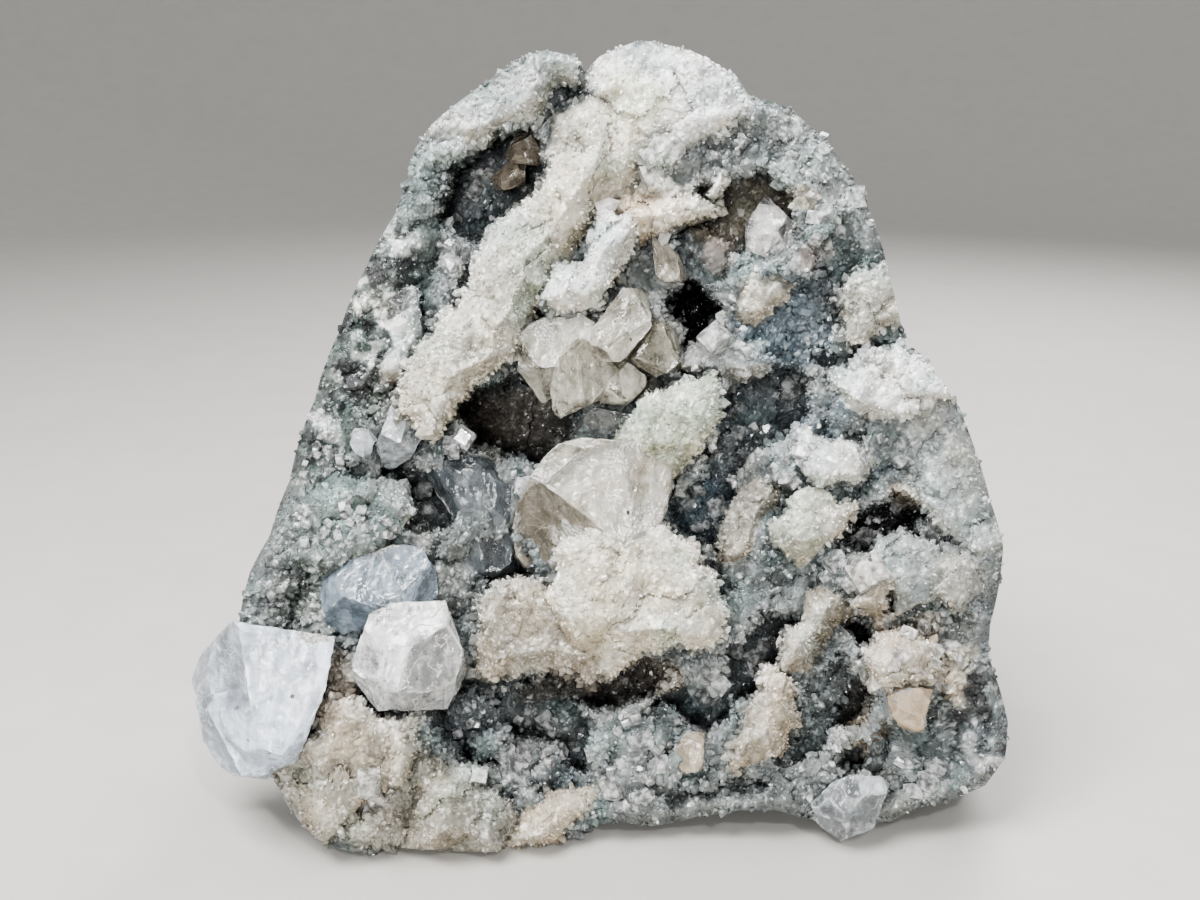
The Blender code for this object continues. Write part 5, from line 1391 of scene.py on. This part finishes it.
class CLUSTER_OT_crust(bpy.types.Operator):
    """Builds the quartz crust, its edge and the dark rock behind it"""

    bl_idname = "cluster.crust"
    bl_label = "Build crust and rock"

    def execute(self, context):
        settings = context.scene.cluster_settings
        cells = settings.crust_cells
        angle, share = square_to_disc(cells)
        across, up = from_middle(share, angle)
        shifts = ragged(across, up)
        height, covers = crust_height(across, up, share, shifts)
        relief, *owners = fine_relief(across, up, covers, share)
        out = height + relief
        colours = face_colours(across, up, covers, height, relief, owners, shifts, FACE_WIDTH / cells)
        coarse = 1.0 + 0.8 * smooth_step(-0.1, 0.5, wander(across, up, 14.0, SEED + 50))
        cover = np.clip(sum(covers), 0, 1)
        coarse = 0.75 * coarse * (1 - cover) + 0.62 * cover + 2.4 * cover * (1 - cover)
        tinted = np.concatenate([colours, coarse[..., None]], axis=-1)
        points = on_sight(across, up, out)
        quartz = crust_material("quartz_crust", settings.crust_clear, CRUST_SOFT)
        half = cells // 2
        spans = {"lower": slice(0, half + 1), "upper": slice(half, cells + 1)}
        sides = {"left": slice(0, half + 1), "right": slice(half, cells + 1)}
        for (row_name, columns), (side_name, rows) in itertools.product(spans.items(), sides.items()):
            part = points[rows, columns]
            index = np.arange(part.shape[0] * part.shape[1]).reshape(part.shape[:2])
            make_piece(
                f"crust_{row_name}_{side_name}", in_box(part.reshape(-1, 3)), grid_faces(index), quartz,
                "matrix", tinted[rows, columns].reshape(-1, 4),
            )
        self.edge(cells, angle, across, up, out, colours, quartz)
        return {"FINISHED"}

    def edge(self, cells, angle, across, up, out, colours, quartz):
        """The crust's edge and the rock's wall, carried back along the lines of sight as rings that
        narrow with the depth's share to the power 1.6, and the rock's back, a disc with low noise.
        """
        rows, columns = rim_loop(cells)
        rim_across, rim_up, rim_out = across[rows, columns], up[rows, columns], out[rows, columns]
        round_edge = ROUND_WIDTH * angle[rows, columns]
        full_depth = rim_out - BACK_DEPTH

        steps = np.linspace(0, 1, EDGE_STEPS)[:, None]
        depth = EDGE_DEPTH * steps * (1 + 0.35 * wander(round_edge, 0 * round_edge, 9.0, SEED + 70))
        rough, *owners = fine_relief(round_edge + 0 * depth, depth + 40, [0 * depth], 0 * depth)
        back_share = depth / full_depth
        shrink = 1 - (1 - BACK_SHRINK) * back_share**1.6 + (0.004 * rough - 0.004) * np.sin(math.pi * steps)
        shrink -= 0.03 * smooth_step(0.75, 1.0, steps)
        ring = on_sight(rim_across * shrink, rim_up * shrink, rim_out - depth)
        index = ring_index(*ring.shape[:2])
        tone = 0.82 + 0.35 * (owners[2] - 0.5) + 0.2 * (owners[1] - 0.5)
        tone = tone + layered(round_edge, depth, (0.22, 3.6, 71), (0.14, 1.4, 72))
        own = colours[rows, columns]
        shared = sum(np.roll(own, shift, axis=0) for shift in range(-RIM_SHARED, RIM_SHARED + 1))
        shared = shared / (2 * RIM_SHARED + 1)
        leaving = smooth_step(0.0, 0.12, steps)[..., None]
        tint = blend(own, shared, leaving) * (1 - 0.45 * steps[..., None]) * tone[..., None]
        make_piece("crust_edge", in_box(ring.reshape(-1, 3)), grid_faces(index), quartz, "matrix",
                   np.clip(tint, 0.02, 0.95).reshape(-1, 3))

        coarse = slice(None, None, 4)
        steps = np.linspace(0, 1, WALL_STEPS)[:, None]
        rim_a, rim_u, rim_o = rim_across[coarse], rim_up[coarse], rim_out[coarse]
        start_depth = 0.35 * EDGE_DEPTH
        depth = start_depth + (rim_o - BACK_DEPTH - start_depth) * steps
        around = round_edge[coarse]
        shrink = 1 - (1 - BACK_SHRINK) * (depth / (rim_o - BACK_DEPTH)) ** 1.6
        broken = layered(around, depth, (0.6, 14.0, 80), (0.35, 5.0, 81), (0.2, 2.0, 82))
        shrink += 0.026 * (broken - 1.0) * np.sin(math.pi * steps) ** 0.5
        off_floor = smooth_step(*OFF_FLOOR, rim_u)
        shrink -= BACK_WEAR * off_floor * smooth_step(0.72, 1.0, steps) ** 2
        wall = on_sight(rim_a * shrink, rim_u * shrink, rim_o - depth)
        back_cells = cells // 4
        back_angle, back_share = square_to_disc(back_cells)
        back_across, back_up = from_middle(back_share, back_angle)
        fade = 1 - back_share**6
        back_out = BACK_DEPTH - 4 * (1 - back_share**2) + BROKEN_BACK * rock_noise(
            0.22 * back_across, 0.22 * back_up) * fade
        back_out += fade * layered(back_across, back_up, (3.0, 17.0, 86), (1.6, 7.0, 83), (0.6, 2.6, 84))
        back_size = BACK_SHRINK - BACK_WEAR * smooth_step(*OFF_FLOOR, back_up)
        back = on_sight(back_across * back_size, back_up * back_size, back_out)
        wall_index = ring_index(*wall.shape[:2])
        back_index = wall.shape[0] * wall.shape[1] + np.arange(back_share.size).reshape(back_share.shape)
        loop = back_index[rim_loop(back_cells)]
        seam = np.vstack([wall_index[-1], np.append(loop, loop[0])])
        faces = np.vstack([grid_faces(wall_index), grid_faces(seam), grid_faces(back_index)[:, ::-1]])
        points = np.vstack([wall.reshape(-1, 3), back.reshape(-1, 3)])
        stain = 0.5 + 0.5 * wander(points[:, 0], points[:, 2], 14.0, SEED + 85)[:, None]
        tint = blend(linear(PALETTE["basalt"]), linear(PALETTE["moss"]), stain)
        make_piece("rock", in_box(points), faces, rock_material(), "matrix", tint)


class CLUSTER_OT_points(bpy.types.Operator):
    """Scatters small quartz points over the crust, as joined meshes"""

    bl_idname = "cluster.points"
    bl_label = "Scatter quartz points"

    def execute(self, context):
        settings = context.scene.cluster_settings
        draw = np.random.default_rng(SEED)
        quartz = crust_material("quartz_points", 0.0, 0.0)
        count = settings.point_count // len(CRUST_QUARTERS)
        for quarter in CRUST_QUARTERS:
            self.scatter(f"points_{quarter}", *read_crust(quarter),
                         count, settings.point_width, draw, quartz)
        return {"FINISHED"}

    def scatter(self, name, points, tints, faces, count, width, draw, material):
        """Points stand by area, each somewhere inside its cell: six-sided prisms with a six-sided tip,
        tipped off the surface.
        """
        first, second, third = (points[faces[:, k]] for k in (0, 1, 3))
        cross = np.cross(second - first, third - first)
        area = np.linalg.norm(cross, axis=1)
        chosen = draw.choice(len(faces), count, p=area / area.sum())
        normal = cross[chosen] / (area[chosen][:, None] + 1e-12)
        heading = normal + draw.normal(scale=0.45, size=normal.shape)
        heading /= np.linalg.norm(heading, axis=1)[:, None]
        side = np.cross(heading, draw.normal(size=heading.shape))
        side /= np.linalg.norm(side, axis=1)[:, None]
        other = np.cross(heading, side)
        wide = width / 2 * draw.lognormal(0.0, 0.35, count) * tints[faces[chosen, 0], 3]
        tall = wide * draw.uniform(0.5, 1.6, count)
        turns = np.arange(6) * math.pi / 3
        cosines, sines = np.cos(turns)[None, :, None], np.sin(turns)[None, :, None]
        ring = (side[:, None] * cosines + other[:, None] * sines) * wide[:, None, None]
        share_a, share_b = (
            hashed(np.arange(count), chosen % 997, SEED + number)[:, None] for number in (300, 301)
        )
        foot = first[chosen] + share_a * (second - first)[chosen] + share_b * (third - first)[chosen]
        foot = foot[:, None]
        low = foot + ring * 1.05 - heading[:, None] * wide[:, None, None]
        high = foot + ring * 0.9 + heading[:, None] * (tall - 0.2 * wide)[:, None, None]
        tip = foot + heading[:, None] * (tall + 0.75 * wide)[:, None, None]
        solid = np.concatenate([low, high, tip], axis=1)
        step = np.arange(6)
        following = (step + 1) % 6
        walls = np.concatenate([
            np.stack([step, following, 6 + following], axis=1),
            np.stack([step, 6 + following, 6 + step], axis=1),
            np.stack([6 + step, 6 + following, np.full(6, 12)], axis=1),
            np.stack([np.zeros(4, int), np.arange(2, 6), np.arange(1, 5)], axis=1),
        ])
        corners = solid.shape[1]
        triangles = (walls[None] + corners * np.arange(count)[:, None, None]).reshape(-1, 3)
        tone = draw.uniform(0.92, 1.22, (count, 1, 1))
        colour = np.clip(tints[faces[chosen, 0], :3][:, None] * tone, 0, 0.95) + np.zeros((1, corners, 1))
        make_piece(name, in_box(solid.reshape(-1, 3), 1.0), triangles, material, "matrix",
                   colour.reshape(-1, 3))


class CLUSTER_OT_crystals(bpy.types.Operator):
    """Grows the apophyllite crystals"""

    bl_idname = "cluster.crystals"
    bl_label = "Grow crystals"

    def execute(self, context):
        spacing = context.scene.cluster_settings.crystal_spacing / MM
        for number, (name, forms) in enumerate(CRYSTALS.items()):
            draw = np.random.default_rng(SEED + number)
            sugar = CRYSTAL_LOOKS[name][-1]
            points, triangles, frost, tone = crystal_arrays(
                forms, CHIPS, CHIP_DEPTH, spacing, 0.2 + 2 * sugar, draw
            )
            look = crystal_material(f"{name}_crystal", *CRYSTAL_LOOKS[name])
            points = worn(points, frost, points.mean(0), 0.3 + 4 * sugar, 0.2 + 5 * sugar)
            piece = make_piece(f"{name}_fine", in_box(sway(points, SWAY)), triangles, look, name)
            layer = piece.data.attributes.new("edge", "FLOAT", "POINT")
            layer.data.foreach_set("value", frost.astype(np.float32))
            layer = piece.data.attributes.new("facet", "FLOAT", "FACE")
            layer.data.foreach_set("value", tone.astype(np.float32))
        return {"FINISHED"}


class CLUSTER_OT_small_crystals(bpy.types.Operator):
    """Sets small clear crystals in the druse, as one joined mesh"""

    bl_idname = "cluster.small_crystals"
    bl_label = "Set small crystals"

    def execute(self, context):
        places, tints = [], []
        for quarter in CRUST_QUARTERS:
            points, tint, _ = read_crust(quarter)
            places.append(points / MM)
            tints.append(tint[:, :3])
        places, tints = np.vstack(places), np.vstack(tints)
        across, up = in_picture(places)
        draw = np.random.default_rng(SEED + 200)
        points, triangles, colours, start = [], [], [], 0
        for *ellipse, count, size in SMALL_CRYSTALS:
            near = np.flatnonzero(soft_ellipse(across, up, *ellipse) > 0.5)
            for chosen in draw.choice(near, count):
                grid, fan = self.crystal(size * draw.lognormal(-0.1, 0.3), draw)
                points.append(grid + places[chosen])
                triangles.append(fan + start)
                own = 0.7 * tints[chosen] + 0.3 * linear(PALETTE["white"])
                colours.append(np.broadcast_to(own, grid.shape))
                start += len(grid)
        make_piece("small_crystals", in_box(np.vstack(points)), np.vstack(triangles),
                   small_crystal_material(), "matrix", np.vstack(colours))
        return {"FINISHED"}

    def crystal(self, size, draw):
        """A square prism with a blunt pyramid on it and two shaved corners, tipped off the surface:
        corners where its planes meet, then each face as a fan round its own middle.
        """
        axis = np.array((0.0, -1.0, 0.35)) + draw.normal(scale=0.55, size=3)
        axis /= np.linalg.norm(axis)
        side = np.cross(axis, draw.normal(size=3))
        side /= np.linalg.norm(side)
        other = np.cross(axis, side)
        half, tall = size / 2, size * draw.uniform(0.25, 0.6)
        sides = np.array([side, -side, other, -other])
        tips = sides * 0.62 + axis * 0.78
        normals = np.vstack([sides, tips, axis, -axis])
        distances = np.concatenate([
            half * draw.uniform(0.75, 1.1, 4), np.full(4, 0.78 * tall + 0.40 * half), [tall], [0.6 * size],
        ])
        normals, distances = chipped(normals, distances, 2, 0.25 * size, draw)
        points, triangles, start = [], [], 0
        for _, normal, own in flat_faces(normals, distances):
            step = np.arange(len(own))
            points.append(np.vstack([own.mean(0), in_order(own, normal)]))
            triangles.append(start + np.stack([0 * step, 1 + step, 1 + (step + 1) % len(own)], axis=1))
            start += len(own) + 1
        points = np.vstack(points)
        first, triangles, _ = weld(points, np.vstack(triangles))
        return points[first], triangles


class CLUSTER_OT_stage(bpy.types.Operator):
    """Sets the pale floor, the soft lights and the camera"""

    bl_idname = "cluster.stage"
    bl_label = "Set stage"

    def execute(self, context):
        settings = context.scene.cluster_settings
        scene = context.scene
        self.floor(settings.floor_colour)
        for lamp in LIGHTS:
            self.light(*lamp)
        world = bpy.data.worlds.new("studio")
        world.use_nodes = True
        world.node_tree.nodes["Background"].inputs["Color"].default_value = (0.97, 0.98, 1.0, 1)
        world.node_tree.nodes["Background"].inputs["Strength"].default_value = STUDIO_LIGHT
        scene.world = world
        scene.view_settings.look = "AgX - Medium High Contrast"
        data = bpy.data.cameras.new("camera")
        data.lens = LENS
        data.sensor_width = SENSOR_WIDTH
        data.clip_start = 0.01
        camera = bpy.data.objects.new("camera", data)
        scene.collection.objects.link(camera)
        camera.location = (-SHIFT_X * MM, -(EYE_BACK + SHIFT_Y) * MM, EYE_HEIGHT * MM)
        camera.rotation_euler = (math.pi / 2 - LOOK_DOWN, 0, 0)
        scene.camera = camera
        return {"FINISHED"}

    def floor(self, colour):
        """A round floor whose rim curves up all round: flat out to a radius, then a quarter ellipse."""
        angle, share = square_to_disc(FLOOR_CELLS)
        radius = FLOOR_RADIUS * share
        climb = np.clip((radius - FLOOR_FLAT) / (FLOOR_RADIUS - FLOOR_FLAT), 0, 1)
        height = FLOOR_RISE * (1 - np.sqrt(1 - climb**2))
        points = np.stack([radius * np.cos(angle), radius * np.sin(angle), height], axis=-1).reshape(-1, 3)
        faces = grid_faces(np.arange(angle.size).reshape(angle.shape))
        mesh = bpy.data.meshes.new("floor")
        mesh.from_pydata(points.tolist(), [], faces.tolist())
        mesh.polygons.foreach_set("use_smooth", np.full(len(faces), True))
        shader = Shader("floor")
        soft = shader.curve(shader.noise(40.0, 5.0), 0.3, 0.7, 0.97, 1.03)
        grey = shader.node("ShaderNodeCombineColor", i0=soft, i1=soft, i2=soft)
        tone = shader.mix(1.0, opaque(colour), grey.outputs[0], "MULTIPLY")
        shader.surface_inputs({"Base Color": tone, "Roughness": 0.55})
        mesh.materials.append(shader.material)
        floor = bpy.data.objects.new("floor", mesh)
        bpy.context.scene.collection.objects.link(floor)

    def light(self, name, place, size, power):
        """A square soft light that looks at the stone's middle."""
        data = bpy.data.lights.new(name, "AREA")
        data.size = size
        data.energy = power
        lamp = bpy.data.objects.new(name, data)
        bpy.context.scene.collection.objects.link(lamp)
        lamp.location = place
        lamp.rotation_euler = (Vector((0, 0, LAMP_AIM)) - lamp.location).to_track_quat("-Z", "Y").to_euler()


class CLUSTER_PT_panel(bpy.types.Panel):
    """Lists the settings and the steps"""

    bl_idname = "CLUSTER_PT_panel"
    bl_label = "Apophyllite cluster"
    bl_space_type = "VIEW_3D"
    bl_region_type = "UI"
    bl_category = "Cluster"

    def draw(self, context):
        settings = context.scene.cluster_settings
        names = ("crust_cells", "point_count", "point_width", "crystal_spacing", "crust_clear",
                 "floor_colour")
        for name in names:
            self.layout.prop(settings, name)
        for operator in CLASSES[1:-1]:
            self.layout.operator(operator.bl_idname)


CLASSES = (
    ClusterSettings, CLUSTER_OT_crust, CLUSTER_OT_points, CLUSTER_OT_crystals, CLUSTER_OT_small_crystals,
    CLUSTER_OT_stage, CLUSTER_PT_panel,
)


def register():
    for made in CLASSES:
        bpy.utils.register_class(made)
    bpy.types.Scene.cluster_settings = bpy.props.PointerProperty(type=ClusterSettings)


def unregister():
    del bpy.types.Scene.cluster_settings
    for made in reversed(CLASSES):
        bpy.utils.unregister_class(made)


def main():
    register()
    bpy.ops.cluster.crust()
    bpy.ops.cluster.points()
    bpy.ops.cluster.crystals()
    bpy.ops.cluster.small_crystals()
    bpy.ops.cluster.stage()


if __name__ == "__main__":
    main()
